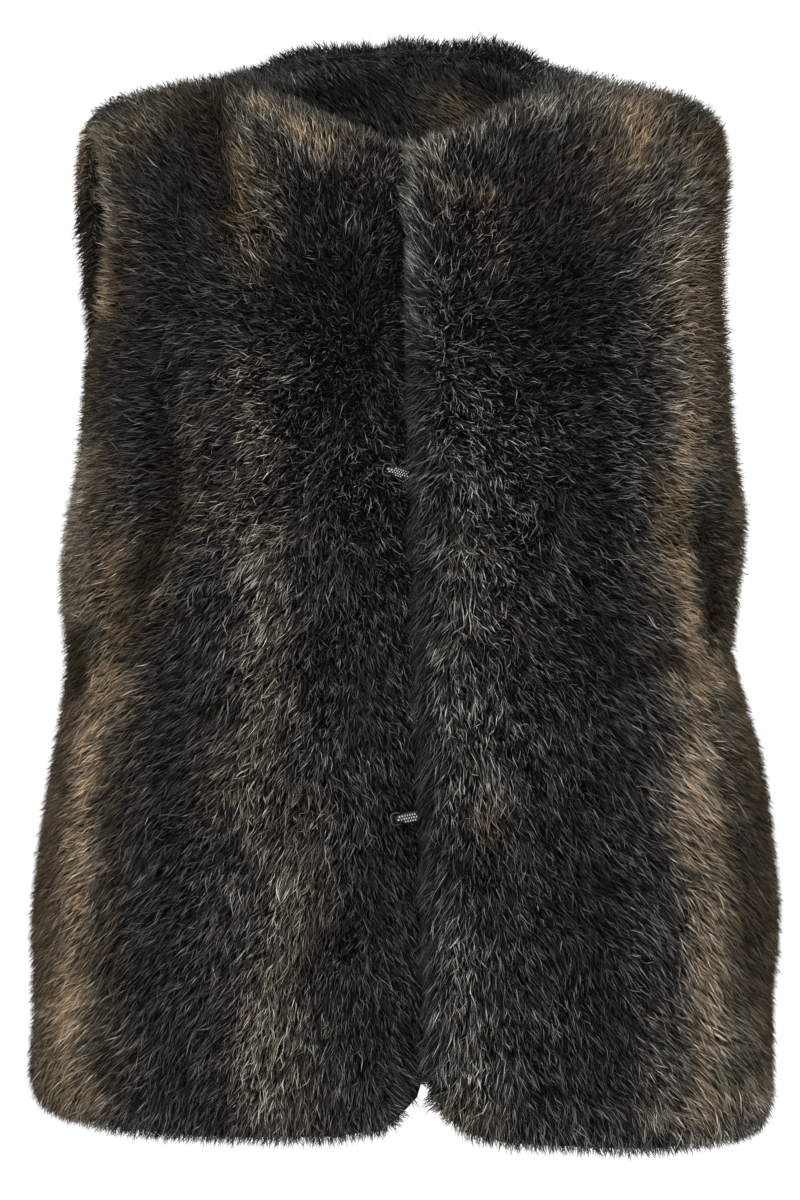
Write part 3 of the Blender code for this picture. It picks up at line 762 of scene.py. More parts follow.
class Surface:
    """The welded wall of a node, and the faces of it that carry pile.

    Lengths are in metres. A facing is how squarely a face looks along an axis.
    """

    WELD_DIGITS = 6
    # Faces of the seams lie this near the plane between fronts and back, and look squarely at it
    SEAM_BAND = 0.0009
    SEAM_FACING = 0.9
    # Edges of the front opening lie this near the middle, and look squarely across it
    OPENING_SPAN = 0.030
    OPENING_FACING = 0.8
    # The outside looks away from a core, this share of the way across
    CORE_SHARE = 0.6
    # The inside of the neck looks at its axis, by this share of the way across
    NECK_SHARE = 0.7
    NECK_AXIS = -0.02
    # A face is backed if the wall's other face is in reach and looks the other way
    SKIP = 0.0002
    WALL_REACH = 0.030
    OPPOSITE = -0.3
    TURNED_IN = -0.45
    # The pile on the rims, and on the bands inside the armholes
    RIM_DEPTH = 0.0095
    RIM_DENSITY = 3.0
    ARMHOLE_SPAN = 0.110
    BAND_WIDTH = 0.016
    BAND_PILE = 0.006
    BAND_DENSITY = 2.0
    # How far the backing is drawn in at its rims, and over which span
    EDGE_DRAW = 0.004
    EDGE_SPAN = 0.024

    def __init__(self, node: bpy.types.Object, furred: Furred, opening: Opening) -> None:
        """Reads the node.

        Args:
            node: the CAD node's object.
            furred: the face that carries the pile.
            opening: whether the edge at the front opening carries it too.
        """
        mesh = node.data
        mesh.calc_loop_triangles()
        corners = np.empty(len(mesh.loop_triangles) * 3, dtype=np.int32)
        mesh.loop_triangles.foreach_get("vertices", corners)
        welded = np.round(corners_of(node), self.WELD_DIGITS)
        self.points, index = np.unique(welded, axis=0, return_inverse=True)
        self.triangles = index.reshape(-1)[corners].reshape(-1, 3)
        first, second, third = (self.points[self.triangles[:, i]] for i in range(3))
        crossed = np.cross(second - first, third - first)
        self.middles = (first + second + third) / 3
        self.facings = unit(crossed)
        self.areas = np.linalg.norm(crossed, axis=1) / 2
        self.tree = BVHTree.FromPolygons(self.points.tolist(), self.triangles.tolist())
        near_seam = np.abs(self.middles[:, 1]) < self.SEAM_BAND
        self.seams = near_seam & (np.abs(self.facings[:, 1]) > self.SEAM_FACING)
        self.walls, self.rims, self.inner = self.sort_faces(furred, opening)
        self.rim_tree = BVHTree.FromPolygons(self.points.tolist(), self.triangles[self.rims].tolist())
        self.bands = self.find_bands()
        self.piled = self.walls | self.rims | self.bands
        self.wall_normals = self.vertex_normals(self.walls)
        self.normals = self.vertex_normals(self.walls | self.rims)

    def vertex_normals(self, faces: np.ndarray) -> np.ndarray:
        """Smooth directions off some of the faces.

        Args:
            faces: True for each face that counts.

        Returns:
            A direction at each vertex, or zero where no such face meets it.
        """
        normals = np.zeros_like(self.points)
        for i in range(3):
            np.add.at(normals, self.triangles[faces, i], self.facings[faces] * self.areas[faces, None])
        return unit(normals)

    def sort_faces(self, furred: Furred, opening: Opening) -> tuple[np.ndarray, np.ndarray, np.ndarray]:
        """Tells the furred side and the rims of the wall from its bare side and its seams.

        Args:
            furred: the face that carries the pile.
            opening: whether the edge at the front opening carries it too.

        Returns:
            True for each face of the furred side, for each rim that carries pile, and for each of the
            bare side.
        """
        middles, facings = self.middles, self.facings
        if furred is Furred.OUTSIDE:
            heights = np.minimum(middles[:, 2], UNDERARM_HEIGHT)
            core = np.stack([self.CORE_SHARE * middles[:, 0], 0 * heights, heights], axis=1)
            off = unit(middles - core)
        else:
            inward = -self.NECK_SHARE * middles[:, 0]
            off = unit(np.stack([inward, self.NECK_AXIS - middles[:, 1], 0 * inward], axis=1))
        turned = (facings * off).sum(axis=1)
        backed = np.zeros(len(middles), dtype=bool)
        starts = middles - facings * self.SKIP
        for i, (start, way) in enumerate(zip(starts.tolist(), (-facings).tolist())):
            face = self.tree.ray_cast(Vector(start), Vector(way), self.WALL_REACH)[2]
            backed[i] = face is not None and facings[i] @ facings[face] < self.OPPOSITE
        bare = (turned < self.TURNED_IN) | (backed & (turned < 0)) | (self.areas < TINY)
        open_faces = ~self.seams
        if opening is Opening.BARE:
            near_opening = np.abs(middles[:, 0]) < self.OPENING_SPAN
            open_faces &= ~(near_opening & (np.abs(facings[:, 0]) > self.OPENING_FACING))
        return backed & ~bare & open_faces, ~backed & ~bare & open_faces, backed & bare & open_faces

    def find_bands(self) -> np.ndarray:
        """Finds the bands inside the armholes, where the pile is turned in round the edge.

        Returns:
            True for each bare face near an armhole's rim.
        """
        high = self.middles[:, 2] > UNDERARM_HEIGHT - self.BAND_WIDTH
        outer = np.abs(self.middles[:, 0]) > self.ARMHOLE_SPAN
        bands = high & outer & ~self.walls & ~self.rims & ~self.seams & (self.areas > TINY)
        for i in np.flatnonzero(bands).tolist():
            spot = self.rim_tree.find_nearest(Vector(self.middles[i].tolist()), self.BAND_WIDTH)[0]
            bands[i] = spot is not None
        return bands

    def scatter(self, count: int, rng: np.random.Generator, deepest: float, share: float) -> Places:
        """Evenly scattered places on the faces that carry pile, closer together on the rims.

        Args:
            count: how many places.
            rng: the seeded source of chance.
            deepest: the most that a hair is rooted below its place.
            share: how much of the wall's thickness a hair may take up.

        Returns:
            The places.
        """
        faces = np.flatnonzero(self.piled)
        density = np.where(self.bands[faces], self.BAND_DENSITY, 1.0)
        density[self.rims[faces]] = self.RIM_DENSITY
        edges = np.cumsum(self.areas[faces] * density)
        spots = (np.arange(count) + rng.random(count)) / count * edges[-1]
        chosen = faces[np.minimum(np.searchsorted(edges, spots), len(faces) - 1)]
        corners = self.triangles[chosen]
        root, across = np.sqrt(rng.random(count)), rng.random(count)
        shares = np.stack([1 - root, root * (1 - across), root * across], axis=1)[..., None]
        points = (self.points[corners] * shares).sum(axis=1)
        normals = unit((self.normals[corners] * shares).sum(axis=1))
        on_band = self.bands[chosen]
        normals[on_band] = self.facings[chosen[on_band]]
        depths = np.minimum(deepest, share * self.room_below(points, normals))
        depths[self.rims[chosen]] = self.RIM_DEPTH
        depths[on_band] = self.BAND_PILE
        points[on_band] += normals[on_band] * self.BAND_PILE
        return Places(points, normals, depths)

    def room_below(self, points: np.ndarray, normals: np.ndarray) -> np.ndarray:
        """How thick the wall is under places on its furred face.

        Args:
            points: the places.
            normals: the directions off the cloth there.

        Returns:
            The thickness at each, or the rim's depth where the way in runs along the cloth.
        """
        room = np.full(len(points), self.RIM_DEPTH)
        starts = points - normals * self.SKIP
        for i, (start, way) in enumerate(zip(starts.tolist(), (-normals).tolist())):
            distance = self.tree.ray_cast(Vector(start), Vector(way), self.WALL_REACH)[3]
            if distance is not None:
                room[i] = distance
        return room

    def edge_pull(self) -> np.ndarray:
        """Ways by which the backing is drawn in from the rims, so that the pile reaches past it.

        Returns:
            A way for each vertex, which fades out over the edge's span.
        """
        pull = np.zeros_like(self.points)
        for i, point in enumerate(self.points.tolist()):
            spot, normal, _, distance = self.rim_tree.find_nearest(Vector(point), self.EDGE_SPAN)
            if spot is not None:
                pull[i] = np.array(normal) * -self.EDGE_DRAW * (1 - distance / self.EDGE_SPAN)
        return pull


# Where a strand bends along its length, and where the palette is read at its root, its tip and its sides
BEND = 0.68
ROOT_AT = 0.02
TIP_AT = 0.98
SIDE_SHIFT = 0.004


def strand_mesh(name: str, lines: np.ndarray, sides: np.ndarray, tones: np.ndarray) -> bpy.types.Mesh:
    """A mesh of fine strands, each a bent kite of two triangles.

    Args:
        name: the mesh's name.
        lines: each strand's root, middle and tip.
        sides: half of each strand's width, as a direction.
        tones: each strand's place across the palette.

    Returns:
        The mesh, with its palette map.
    """
    count = len(lines)
    points = np.stack([lines[:, 0], lines[:, 1] - sides, lines[:, 1] + sides, lines[:, 2]], axis=1)
    maps = np.empty((count, 4, 2))
    maps[:, :, 0] = tones[:, None] + np.array([0.0, -SIDE_SHIFT, SIDE_SHIFT, 0.0])
    maps[:, :, 1] = np.array([ROOT_AT, BEND, BEND, TIP_AT])
    corners = (np.arange(count)[:, None] * 4 + np.array([0, 2, 1, 1, 2, 3])).ravel()
    mesh = bpy.data.meshes.new(name)
    mesh.vertices.add(count * 4)
    mesh.vertices.foreach_set("co", points.astype(np.float32).ravel())
    mesh.loops.add(len(corners))
    mesh.loops.foreach_set("vertex_index", corners.astype(np.int32))
    mesh.polygons.add(count * 2)
    mesh.polygons.foreach_set("loop_start", np.arange(0, len(corners), 3, dtype=np.int32))
    mesh.update(calc_edges=True)
    layer = mesh.uv_layers.new(name=PALETTE_MAP)
    layer.uv.foreach_set("vector", maps.reshape(-1, 2)[corners].astype(np.float32).ravel())
    mesh.shade_smooth()
    return mesh


def add_piece(
    name: str, mesh: bpy.types.Mesh, materials: list[bpy.types.Material]
) -> bpy.types.Object:
    """Adds a piece that rides on the gilet.

    Args:
        name: the piece's name.
        mesh: its mesh, in the gilet's frame.
        materials: its materials.

    Returns:
        The piece.
    """
    for material in materials:
        mesh.materials.append(material)
    piece = bpy.data.objects.new(name, mesh)
    bpy.context.scene.collection.objects.link(piece)
    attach(piece, "root")
    return piece


@dataclass(frozen=True)
class Comb:
    """How the pile lies: away from a whorl, more so further off, with soft swirls.

    The whorl, the waves and full_at, the distance where the lean is full, are in metres. Lean and swirl are
    set against a hair that stands straight up, and least is the share of the lean beside the whorl.
    """

    SWAY_WAVE: ClassVar[float] = 0.045
    NOD_WAVE: ClassVar[float] = 0.035
    RAGGED_WAVE: ClassVar[float] = 0.020
    RAGGED_MEAN: ClassVar[float] = 0.5
    RAGGED_SWING: ClassVar[float] = 0.6
    LEAN_CURVE: ClassVar[float] = 0.8

    whorl: tuple[float, float]
    lean: float
    full_at: float
    swirl: float
    seed: int
    creases: tuple[Crease, ...] = ()
    tufts: tuple[Tuft, ...] = ()
    least: float = 0.3

    def ways(self, points: np.ndarray, normals: np.ndarray) -> np.ndarray:
        """Directions in which hairs grow, before locks and strays.

        Args:
            points: places on the furred face.
            normals: the directions off the cloth there.

        Returns:
            Directions, not of length one.
        """
        out = points - np.array([self.whorl[0], 0.0, self.whorl[1]])
        out[:, 1] = 0
        grown = np.clip(np.linalg.norm(out, axis=1) / self.full_at, self.least, 1)
        lean = self.lean * grown**self.LEAN_CURVE
        flow = flattened(unit(out), normals)
        sway = WaveNoise(self.SWAY_WAVE, self.seed + 1).at(points)[:, None]
        nod = WaveNoise(self.NOD_WAVE, self.seed + 2).at(points)[:, None]
        ways = normals + lean[:, None] * flow + self.swirl * (sway * np.cross(normals, flow) + nod * flow)
        for crease in self.creases:
            ways += flattened(crease.pull(points)[1], normals)
        return ways

    def sink(self, points: np.ndarray) -> np.ndarray:
        """How far creases draw the pile in."""
        return sum((crease.pull(points)[0] for crease in self.creases), np.zeros(len(points)))

    def extra(self, points: np.ndarray) -> np.ndarray:
        """How much longer tufts make the hairs, unevenly along them.

        Args:
            points: places on the furred face.

        Returns:
            The extra length at each place.
        """
        swing = self.RAGGED_SWING * WaveNoise(self.RAGGED_WAVE, self.seed + 3).at(points)
        ragged = np.clip(self.RAGGED_MEAN + swing, 0, 1)
        return ragged * sum((tuft.lengths(points) for tuft in self.tufts), np.zeros(len(points)))


@dataclass
class FurPanel:
    """One cloth panel: its backing and its pile.

    Lengths are in metres, and the area of the cut is in square metres. LOCK_LENGTHS, GATHERING and WIDTHS
    are ranges of the shares that locks and hairs get at random.
    """

    LEAST_RISE: ClassVar[float] = 0.55
    LEAST_LENGTH: ClassVar[float] = 0.003
    MOST_SUNK: ClassVar[float] = 0.7
    LOCK_LENGTHS: ClassVar[tuple[float, float]] = (0.9, 1.0)
    GATHERING: ClassVar[tuple[float, float]] = (0.4, 1.2)
    WIDTHS: ClassVar[tuple[float, float]] = (0.6, 1.4)
    SKEW: ClassVar[float] = 0.01
    SAG: ClassVar[float] = 0.10
    KINK: ClassVar[float] = 0.05
    TWIST: ClassVar[float] = 1.5
    BROWN_DULLS: ClassVar[float] = 0.75
    HUE_JITTER: ClassVar[float] = 0.2

    node: str
    furred: Furred
    opening: Opening
    styles: tuple[HairStyle, ...]
    tone_map: ToneMap
    comb: Comb
    slot: str
    flat: tuple[float, float]
    cut_area: float
    backing_depth: float = 0.0115
    backing_share: float = 0.70
    clump_size: float = 0.0042
    clump_sway: float = 0.08
    clump_shade: float = 0.02

    def build(
        self, nodes: CadNodes, pile: bpy.types.Material, backing: list[bpy.types.Material]
    ) -> list[bpy.types.Object]:
        """Makes the panel's pieces in place of its node.

        Args:
            nodes: the CAD nodes by name.
            pile: material of the hairs.
            backing: materials of the cloth, under the hairs, painted near black as shade deep in the pile,
                and on its bare side.

        Returns:
            The backing and the piles.
        """
        surface = Surface(nodes[self.node], self.furred, self.opening)
        cloth = self.build_backing(surface, backing)
        piles = [self.grow(surface, style, pile) for style in self.styles]
        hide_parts(self.node)
        return [cloth, *piles]

    def build_backing(self, surface: Surface, materials: list[bpy.types.Material]) -> bpy.types.Object:
        """Makes the cloth under the pile: the solid's wall with its furred face drawn in.

        Args:
            surface: the node's wall.
            materials: the cloth's materials under the pile, painted near black as shade, and on its bare
                side.

        Returns:
            The cloth.
        """
        room = surface.room_below(surface.points, surface.wall_normals)
        depth = np.minimum(self.backing_depth, self.backing_share * room)
        points = surface.points + surface.edge_pull() - surface.wall_normals * depth[:, None]
        points[np.abs(surface.points[:, 1]) < surface.SEAM_BAND, 1] = 0
        mesh = bpy.data.meshes.new(f"{self.node}_backing")
        mesh.from_pydata(points.tolist(), [], surface.triangles.tolist())
        # Faces under the pile take the backing painted near black as shade; bare faces take the cloth's own
        # colour
        mesh.polygons.foreach_set("material_index", surface.inner.astype(np.int32))
        mesh.shade_smooth()
        return add_piece(f"{self.node}_backing", mesh, materials)

    def grow(self, surface: Surface, style: HairStyle, material: bpy.types.Material) -> bpy.types.Object:
        """Grows one kind of hair.

        Args:
            surface: the node's wall.
            style: how the hair grows.
            material: the hairs' material.

        Returns:
            The pile.
        """
        rng = np.random.default_rng([self.comb.seed, style.count])
        places = surface.scatter(style.count, rng, self.backing_depth, self.backing_share)
        points, normals, depth = places.points, places.normals, places.depths
        lock, offsets = self.locks(surface, points, rng)
        lock_count = lock.max() + 1
        ways = self.comb.ways(points, normals)
        ways += self.clump_sway * rng.normal(size=(lock_count, 3))[lock]
        ways = unit(ways + style.stray * rng.normal(size=points.shape))
        rise = np.maximum((ways * normals).sum(axis=1), self.LEAST_RISE)
        full = depth / rise
        roots = points - ways * full[:, None]
        share = style.reach * rng.uniform(style.shortest, 1.0, len(points))
        share *= rng.uniform(*self.LOCK_LENGTHS, lock_count)[lock]
        share *= 1 - np.clip(self.comb.sink(points) / depth, 0, self.MOST_SUNK)
        beyond = style.overshoot * rng.random(len(points)) ** 2
        beyond += self.comb.extra(points) * rng.random(len(points))
        lengths = np.maximum(full * share + style.reach * beyond, self.LEAST_LENGTH)
        tips = roots + ways * lengths[:, None]
        tips += offsets * (style.clump_pull * rng.uniform(*self.GATHERING, len(points)))[:, None]
        across = unit(np.cross(ways, normals + self.SKEW * rng.normal(size=normals.shape)))
        bends = roots + BEND * (tips - roots) + flattened(roots - tips, normals) * self.SAG
        bends += across * (self.KINK * lengths * rng.normal(size=len(points)))[:, None]
        turn = rng.uniform(-self.TWIST, self.TWIST, len(points))[:, None]
        sides = np.cos(turn) * across + np.sin(turn) * np.cross(ways, across)
        sides *= (style.width / 2 * rng.uniform(*self.WIDTHS, len(points)))[:, None]
        tones = self.tint(style, points, lock, rng)
        name = f"{self.node}_{style.kind.value}"
        lines = np.stack([roots, bends, tips], axis=1)
        return add_piece(name, strand_mesh(name, lines, sides, tones), [material])

    def tint(
        self, style: HairStyle, points: np.ndarray, lock: np.ndarray, rng: np.random.Generator
    ) -> np.ndarray:
        """Gives hairs their colours.

        Args:
            style: how the hair grows.
            points: places of the hairs.
            lock: each hair's lock.
            rng: the seeded source of chance.

        Returns:
            Each hair's place across the palette.
        """
        brown, light = self.tone_map.at(points)
        light += style.shade + style.spread * rng.normal(size=len(points))
        light += style.lift * (rng.random(len(points)) < style.bright) * (1 - self.BROWN_DULLS * brown)
        light += self.clump_shade * rng.normal(size=lock.max() + 1)[lock]
        brown = brown + rng.uniform(-self.HUE_JITTER, self.HUE_JITTER, len(points))
        return PileFinish.place(brown, light)

    def locks(
        self, surface: Surface, points: np.ndarray, rng: np.random.Generator
    ) -> tuple[np.ndarray, np.ndarray]:
        """Gathers hairs into locks.

        Args:
            surface: the node's wall.
            points: places of the hairs.
            rng: the seeded source of chance.

        Returns:
            Each hair's lock, and the way from the hair to its lock's middle.
        """
        count = int(surface.areas[surface.piled].sum() / self.clump_size**2)
        middles = surface.scatter(count, rng, self.backing_depth, self.backing_share).points
        tree = KDTree(count)
        for i, middle in enumerate(middles.tolist()):
            tree.insert(middle, i)
        tree.balance()
        lock = np.array([tree.find(point)[1] for point in points.tolist()])
        return lock, middles[lock] - points


class Seat:
    """Where a hook lies: along it towards the eye, beside it, and off the cloth."""

    def __init__(self, hook: bpy.types.Object) -> None:
        """Reads the hook's frame from its node.

        Args:
            hook: the hook's CAD node.
        """
        points = corners_of(hook)
        low, high = points.min(axis=0), points.max(axis=0)
        self.origin = (low + high) / 2
        axes = np.linalg.svd(points - self.origin)[2]
        self.along = axes[0] * -np.sign(axes[0][0])
        self.off = axes[2] * -np.sign(axes[2][1])
        self.beside = np.cross(self.off, self.along)

    def inside(self, points: np.ndarray) -> np.ndarray:
        """The points in the seat's own axes."""
        return (points - self.origin) @ np.stack([self.along, self.beside, self.off], axis=1)

    def outside(self, points: np.ndarray) -> np.ndarray:
        """Points in the seat's own axes, in the gilet's frame."""
        return self.origin + points @ np.stack([self.along, self.beside, self.off])


@dataclass
class Braid:
    """A hook's mesh in the making: its points, its faces, and the thread of each face."""

    points: list[tuple[float, ...]]
    faces: list[tuple[int, ...]]
    threads: list[int]


@dataclass
class Fastening:
    """A braided hook in its wire eye.

    Lengths are in metres, but half a stitch's length is a share of the pitch, and half its width a share of
    its row. ABOVE is where stitches are dropped onto the hook from, and PILLOW is how flat their tops are.
    """

    ABOVE: ClassVar[float] = 0.01
    PILLOW: ClassVar[int] = 4

    place: str
    rows: int = 4
    pitch: float = 0.0008
    stitch_height: float = 0.0004
    stitch_sunk: float = 0.0001
    stitch_half_length: float = 0.55
    dark_half_width: float = 0.55
    light_half_width: float = 0.36
    stitch_steps: int = 5
    wire: float = 0.0006
    corner: float = 0.0022
    corner_steps: int = 8
    ring_steps: int = 12

    def build(
        self, nodes: CadNodes, threads: list[bpy.types.Material], steel: bpy.types.Material
    ) -> list[bpy.types.Object]:
        """Makes the hook and the eye in place of their nodes.

        Args:
            nodes: the CAD nodes by name.
            threads: materials of the dark thread and of the light one, silver thread with painted glints.
            steel: material of the eye's wire.

        Returns:
            The hook and the eye.
        """
        seat = Seat(nodes[f"hook_{self.place}"])
        hook = self.build_hook(nodes[f"hook_{self.place}"], seat, threads)
        eye = self.build_eye(nodes[f"eye_{self.place}"], seat, steel)
        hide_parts(f"hook_{self.place}")
        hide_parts(f"eye_{self.place}")
        return [hook, eye]

    def build_hook(
        self, node: bpy.types.Object, seat: Seat, threads: list[bpy.types.Material]
    ) -> bpy.types.Object:
        """Makes the hook: the solid's own form, with raised stitches over its face.

        Args:
            node: the hook's CAD node.
            seat: where it lies.
            threads: materials of the dark thread and of the light one, silver thread with painted glints.

        Returns:
            The hook.
        """
        node.data.calc_loop_triangles()
        points = [tuple(point) for point in corners_of(node).tolist()]
        faces = [tuple(triangle.vertices) for triangle in node.data.loop_triangles]
        braid = Braid(points, faces, [0] * len(faces))
        tree = BVHTree.FromPolygons(points, faces)
        inner = seat.inside(np.array(points))
        start, end = inner[:, 0].min(), inner[:, 0].max()
        half = inner[:, 1].max()
        column_count = int((end - start) / self.pitch)
        for column in range(column_count):
            for row in range(self.rows):
                middle = (start + (column + 0.5) * self.pitch, half * ((2 * row + 1) / self.rows - 1))
                # Dark and light stitches alternate in a checker; the light ones are silver thread with
                # painted glints of the winding
                thread = (column + row) % 2
                self.add_stitch(braid, seat, tree, middle, 2 * half / self.rows, thread)
        mesh = bpy.data.meshes.new(f"hook_{self.place}_braid")
        mesh.from_pydata(braid.points, [], braid.faces)
        mesh.polygons.foreach_set("material_index", braid.threads)
        mesh.shade_smooth()
        return add_piece(f"hook_{self.place}_braid", mesh, threads)

    def add_stitch(
        self, braid: Braid, seat: Seat, tree: BVHTree, middle: tuple[float, float], size: float, thread: int
    ) -> None:
        """Adds one pillowed stitch, draped over the hook, unless part of it would miss the hook.

        Args:
            braid: the hook's mesh, added to.
            seat: where the hook lies.
            tree: the hook's own form.
            middle: the stitch's middle along and beside the hook.
            size: the width that it has room for.
            thread: 0 for the dark thread and 1 for the light one, silver with painted glints.
        """
        count = self.stitch_steps
        half_width = size * (self.light_half_width if thread else self.dark_half_width)
        first = len(braid.points)
        made = []
        for i in range(count):
            for j in range(count):
                ahead, aside = 2 * i / (count - 1) - 1, 2 * j / (count - 1) - 1
                along = middle[0] + self.stitch_half_length * self.pitch * ahead
                above = seat.outside(np.array([along, middle[1] + half_width * aside, self.ABOVE]))
                hit = tree.ray_cast(Vector(above), Vector(-seat.off))[0]
                if hit is None:
                    return
                pillow = (1 - ahead**self.PILLOW) * (1 - aside**self.PILLOW)
                lift = self.stitch_height * pillow - self.stitch_sunk
                made.append(tuple(np.array(hit) + lift * seat.off))
        braid.points.extend(made)
        for i in range(count - 1):
            for j in range(count - 1):
                corner = first + i * count + j
                braid.faces.append((corner, corner + count, corner + count + 1, corner + 1))
                braid.threads.append(thread)

    def build_eye(self, node: bpy.types.Object, seat: Seat, steel: bpy.types.Material) -> bpy.types.Object:
        """Makes the eye: a smooth wire in a round-cornered loop.

        Args:
            node: the eye's CAD node.
            seat: where its hook lies.
            steel: the wire's material.

        Returns:
            The eye.
        """
        inner = seat.inside(corners_of(node))
        low, high = inner.min(axis=0), inner.max(axis=0)
        middle, half = (low + high) / 2, (high - low) / 2 - self.wire
        route, ways = [], []
        for quarter, (x_way, y_way) in enumerate(((1, 1), (-1, 1), (-1, -1), (1, -1))):
            for step in range(self.corner_steps + 1):
                turn = np.pi / 2 * (quarter + step / self.corner_steps)
                way = np.array([np.cos(turn), np.sin(turn), 0.0])
                corner = np.array([x_way * (half[0] - self.corner), y_way * (half[1] - self.corner), 0.0])
                route.append(middle + corner + self.corner * way)
                ways.append(way)
        angles = np.linspace(0, 2 * np.pi, self.ring_steps, endpoint=False)
        rise = np.array([0.0, 0.0, 1.0])
        rings = [[spot + self.wire * (np.cos(angle) * way + np.sin(angle) * rise) for angle in angles]
                 for spot, way in zip(route, ways)]
        points = seat.outside(np.array(rings).reshape(-1, 3))
        faces = []
        for i in range(len(route)):
            for j in range(self.ring_steps):
                ahead, aside = (i + 1) % len(route), (j + 1) % self.ring_steps
                face = ((i, j), (i, aside), (ahead, aside), (ahead, j))
                faces.append(tuple(ring * self.ring_steps + side for ring, side in face))
        mesh = bpy.data.meshes.new(f"eye_{self.place}_wire")
        mesh.from_pydata(points.tolist(), [], faces)
        mesh.shade_smooth()
        return add_piece(f"eye_{self.place}_wire", mesh, [steel])


@dataclass(frozen=True)
class Lamp:
    """A soft square light."""

    name: str
    place: tuple[float, float, float]
    size: float
    power: float


@dataclass(frozen=True)
class Studio:
    """Camera, floor and soft light. Lengths are in metres, but the sensor's is in millimetres."""

    eye: tuple[float, float, float] = (-0.0023, -4.0, -0.2813)
    frame_height: float = 0.696
    sensor: float = 36.0
    floor_drop: float = 0.75
    floor_size: float = 5.0
    floor_colour: Colour = (0.85, 0.85, 0.85)
    floor_roughness: float = 0.9
    world_light: float = 1.1
    lamps: tuple[Lamp, ...] = (
        Lamp("key", (-1.4, -3.0, 2.2), size=2.0, power=80.0),
        Lamp("fill", (2.2, -2.8, 0.6), size=2.4, power=32.0),
        Lamp("back", (0.6, 2.4, 1.4), size=2.0, power=25.0),
    )

    def build(self, lowest: float) -> None:
        """Sets the studio up.

        Args:
            lowest: height of the gilet's lowest point.
        """
        self.build_camera()
        self.build_floor(lowest - self.floor_drop)
        self.build_world()
        for lamp in self.lamps:
            self.build_light(lamp)
        bpy.context.scene.view_settings.view_transform = "Standard"

    def build_camera(self) -> None:
        """Looks along +Y at the gilet's front."""
        data = bpy.data.cameras.new("camera")
        data.sensor_width = self.sensor
        data.lens = self.sensor * abs(self.eye[1]) / self.frame_height
        camera = bpy.data.objects.new("camera", data)
        camera.location = self.eye
        camera.rotation_euler = (np.pi / 2, 0, 0)
        bpy.context.scene.collection.objects.link(camera)
        bpy.context.scene.camera = camera

    def build_floor(self, height: float) -> None:
        """Lays a plain pale floor.

        Args:
            height: the floor's height.
        """
        half = self.floor_size / 2
        mesh = bpy.data.meshes.new("floor")
        corners = [(x, y, height) for x, y in ((-half, -half), (half, -half), (half, half), (-half, half))]
        mesh.from_pydata(corners, [], [(0, 1, 2, 3)])
        inputs = {"Base Color": (*self.floor_colour, 1.0), "Roughness": self.floor_roughness}
        mesh.materials.append(start_material("floor", inputs)[0])
        floor = bpy.data.objects.new("floor", mesh)
        bpy.context.scene.collection.objects.link(floor)
        floor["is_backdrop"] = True

    def build_world(self) -> None:
        """Surrounds the gilet with even white light."""
        world = bpy.data.worlds.new("studio")
        world.use_nodes = True
        shader = world.node_tree.nodes["Background"]
        shader.inputs["Color"].default_value = (1.0, 1.0, 1.0, 1.0)
        shader.inputs["Strength"].default_value = self.world_light
        bpy.context.scene.world = world

    def build_light(self, lamp: Lamp) -> None:
        """Adds a light that points at the gilet's middle.

        Args:
            lamp: the light.
        """
        data = bpy.data.lights.new(lamp.name, "AREA")
        data.size = lamp.size
        data.energy = lamp.power
        light = bpy.data.objects.new(lamp.name, data)
        light.location = lamp.place
        aim = Vector((0.0, 0.0, self.eye[2])) - Vector(lamp.place)
        light.rotation_euler = aim.to_track_quat("-Z", "Y").to_euler()
        bpy.context.scene.collection.objects.link(light)


GUARD = HairStyle(
    kind=Hair.GUARD, count=97000, reach=1.04, shortest=0.85, overshoot=0.0044, width=0.00044,
    clump_pull=0.15, stray=0.24, shade=-0.23, spread=0.10, bright=0.38, lift=0.50,
)
# The under fur is dark hair, darkened further as painted shade in the gaps deep in the pile
UNDER = HairStyle(
    kind=Hair.UNDER, count=45000, reach=0.80, shortest=0.75, overshoot=0.0, width=0.0010, clump_pull=0.10,
    stray=0.20, shade=-0.45, spread=0.10, bright=0.0, lift=0.0,
)
BACK_GUARD = replace(GUARD, count=97500, width=0.00064, overshoot=0.0030)
BACK_UNDER = replace(UNDER, count=40000, width=0.0014)
FACING_GUARD = replace(GUARD, count=22000, overshoot=0.003, stray=0.16, shade=-0.10, lift=0.25)
FACING_UNDER = replace(UNDER, count=8000)

PILE = PileFinish(
    grey=(1.0, 1.0, 0.91),
    brown=(1.0, 0.72, 0.44),
    darkest=0.012,
    lightest=0.80,
    stops=6,
    # Roots are a twentieth as light as tips: the hairs' own dark roots, deepened as painted shade deep in
    # the pile
    root_share=0.05,
    roughness=0.80,
    specular=0.04,
)
# Under the pile the backing is painted near black as shade deep in the pile; the bare side has the cloth's
# own colour
BACKING_PAINTED_SHADE = BackingFinish(colour=(0.0045, 0.0042, 0.0036), specular=0.04, bump=0.5)
BARE_SIDE = BackingFinish(colour=(0.030, 0.028, 0.025), specular=0.10, bump=0.6)
BLACK_THREAD = ThreadFinish(colour=(0.006, 0.006, 0.006), metallic=0.0, roughness=0.8, streak_scale=900.0)
# The light thread is silver, with painted glints of the winding
SILVER_THREAD_AND_GLINTS = ThreadFinish(colour=(0.50, 0.50, 0.48), metallic=0.2, roughness=0.4, streak_scale=900.0)
STEEL = ThreadFinish(colour=(0.06, 0.06, 0.058), metallic=0.9, roughness=0.45, streak_scale=500.0)


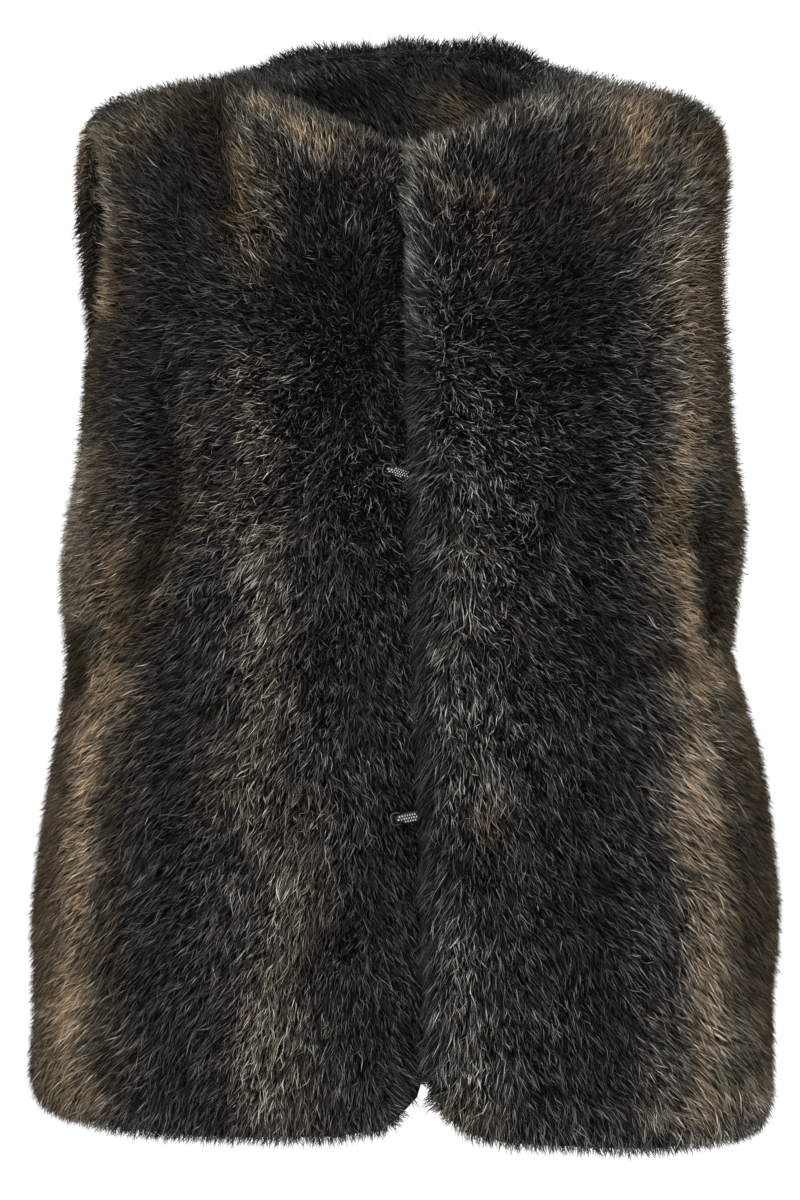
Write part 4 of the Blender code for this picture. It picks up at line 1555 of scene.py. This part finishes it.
def gilet_panels() -> list[FurPanel]:
    """Lists the cloth panels with their cuts and tones.

    Returns:
        The panels, from the fronts to the facing.
    """
    mottles = ((WaveNoise(0.045, seed=77), 0.04), (WaveNoise(0.014, seed=78), 0.03))
    return [
        FurPanel(
            "front_right", Furred.OUTSIDE, Opening.BARE, (GUARD, UNDER),
            ToneMap(RIGHT_TONES, Shade(0.10, 0.29), mottles),
            Comb(
                whorl=(-0.010, -0.136), lean=0.85, full_at=0.24, swirl=0.16, seed=11,
                creases=RIGHT_CREASES, tufts=RIGHT_TUFTS,
            ),
            slot="pile", flat=(0.31, 0.66), cut_area=0.158,
        ),
        FurPanel(
            "front_left", Furred.OUTSIDE, Opening.FRINGED, (GUARD, UNDER),
            ToneMap(LEFT_TONES, Shade(0.02, 0.29), mottles),
            Comb(
                whorl=(0.018, -0.136), lean=0.85, full_at=0.24, swirl=0.16, seed=23,
                creases=LEFT_CREASES, tufts=LEFT_TUFTS,
            ),
            slot="pile", flat=(0.31, 0.66), cut_area=0.158,
        ),
        FurPanel(
            "back", Furred.OUTSIDE, Opening.FRINGED, (BACK_GUARD, BACK_UNDER),
            ToneMap(BACK_TONES, Shade(0.08, 0.28), mottles),
            Comb(
                whorl=(0.0, 0.0), lean=0.85, full_at=0.30, swirl=0.16, seed=37,
                creases=BACK_CREASES, tufts=BACK_TUFTS,
            ),
            slot="pile", flat=(0.58, 0.68), cut_area=0.31,
        ),
        FurPanel(
            "back_neck_facing", Furred.INSIDE, Opening.FRINGED, (FACING_GUARD, FACING_UNDER),
            ToneMap(FACING_TONES, Shade(0.15, 0.48), mottles),
            Comb(whorl=(-0.10, 0.08), lean=1.00, full_at=0.06, swirl=0.20, seed=53),
            slot="facing_pile", flat=(0.30, 0.10), cut_area=0.020, backing_depth=0.009,
        ),
    ]


def main() -> None:
    """Builds the gilet's looks."""
    logging.basicConfig(level=logging.INFO, format="%(name)s: %(message)s")
    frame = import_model()
    cad_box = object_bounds()
    pieces = []
    pile = PILE.material("pile_hair")
    backing = [BACKING_PAINTED_SHADE.material("pile_backing_painted_shade"), BARE_SIDE.material("bare_side")]
    for panel in gilet_panels():
        pieces += panel.build(frame["nodes"], pile, backing)
    threads = [BLACK_THREAD.material("black_thread"), SILVER_THREAD_AND_GLINTS.material("silver_thread_and_painted_glints")]
    steel = STEEL.material("steel")
    for place in ("upper", "lower"):
        pieces += Fastening(place).build(frame["nodes"], threads, steel)
    for piece in pieces:
        piece.data.calc_loop_triangles()
        log.info("%s: %d triangles", piece.name, len(piece.data.loop_triangles))
    Studio().build(cad_box[0].z)


if __name__ == "__main__":
    main()
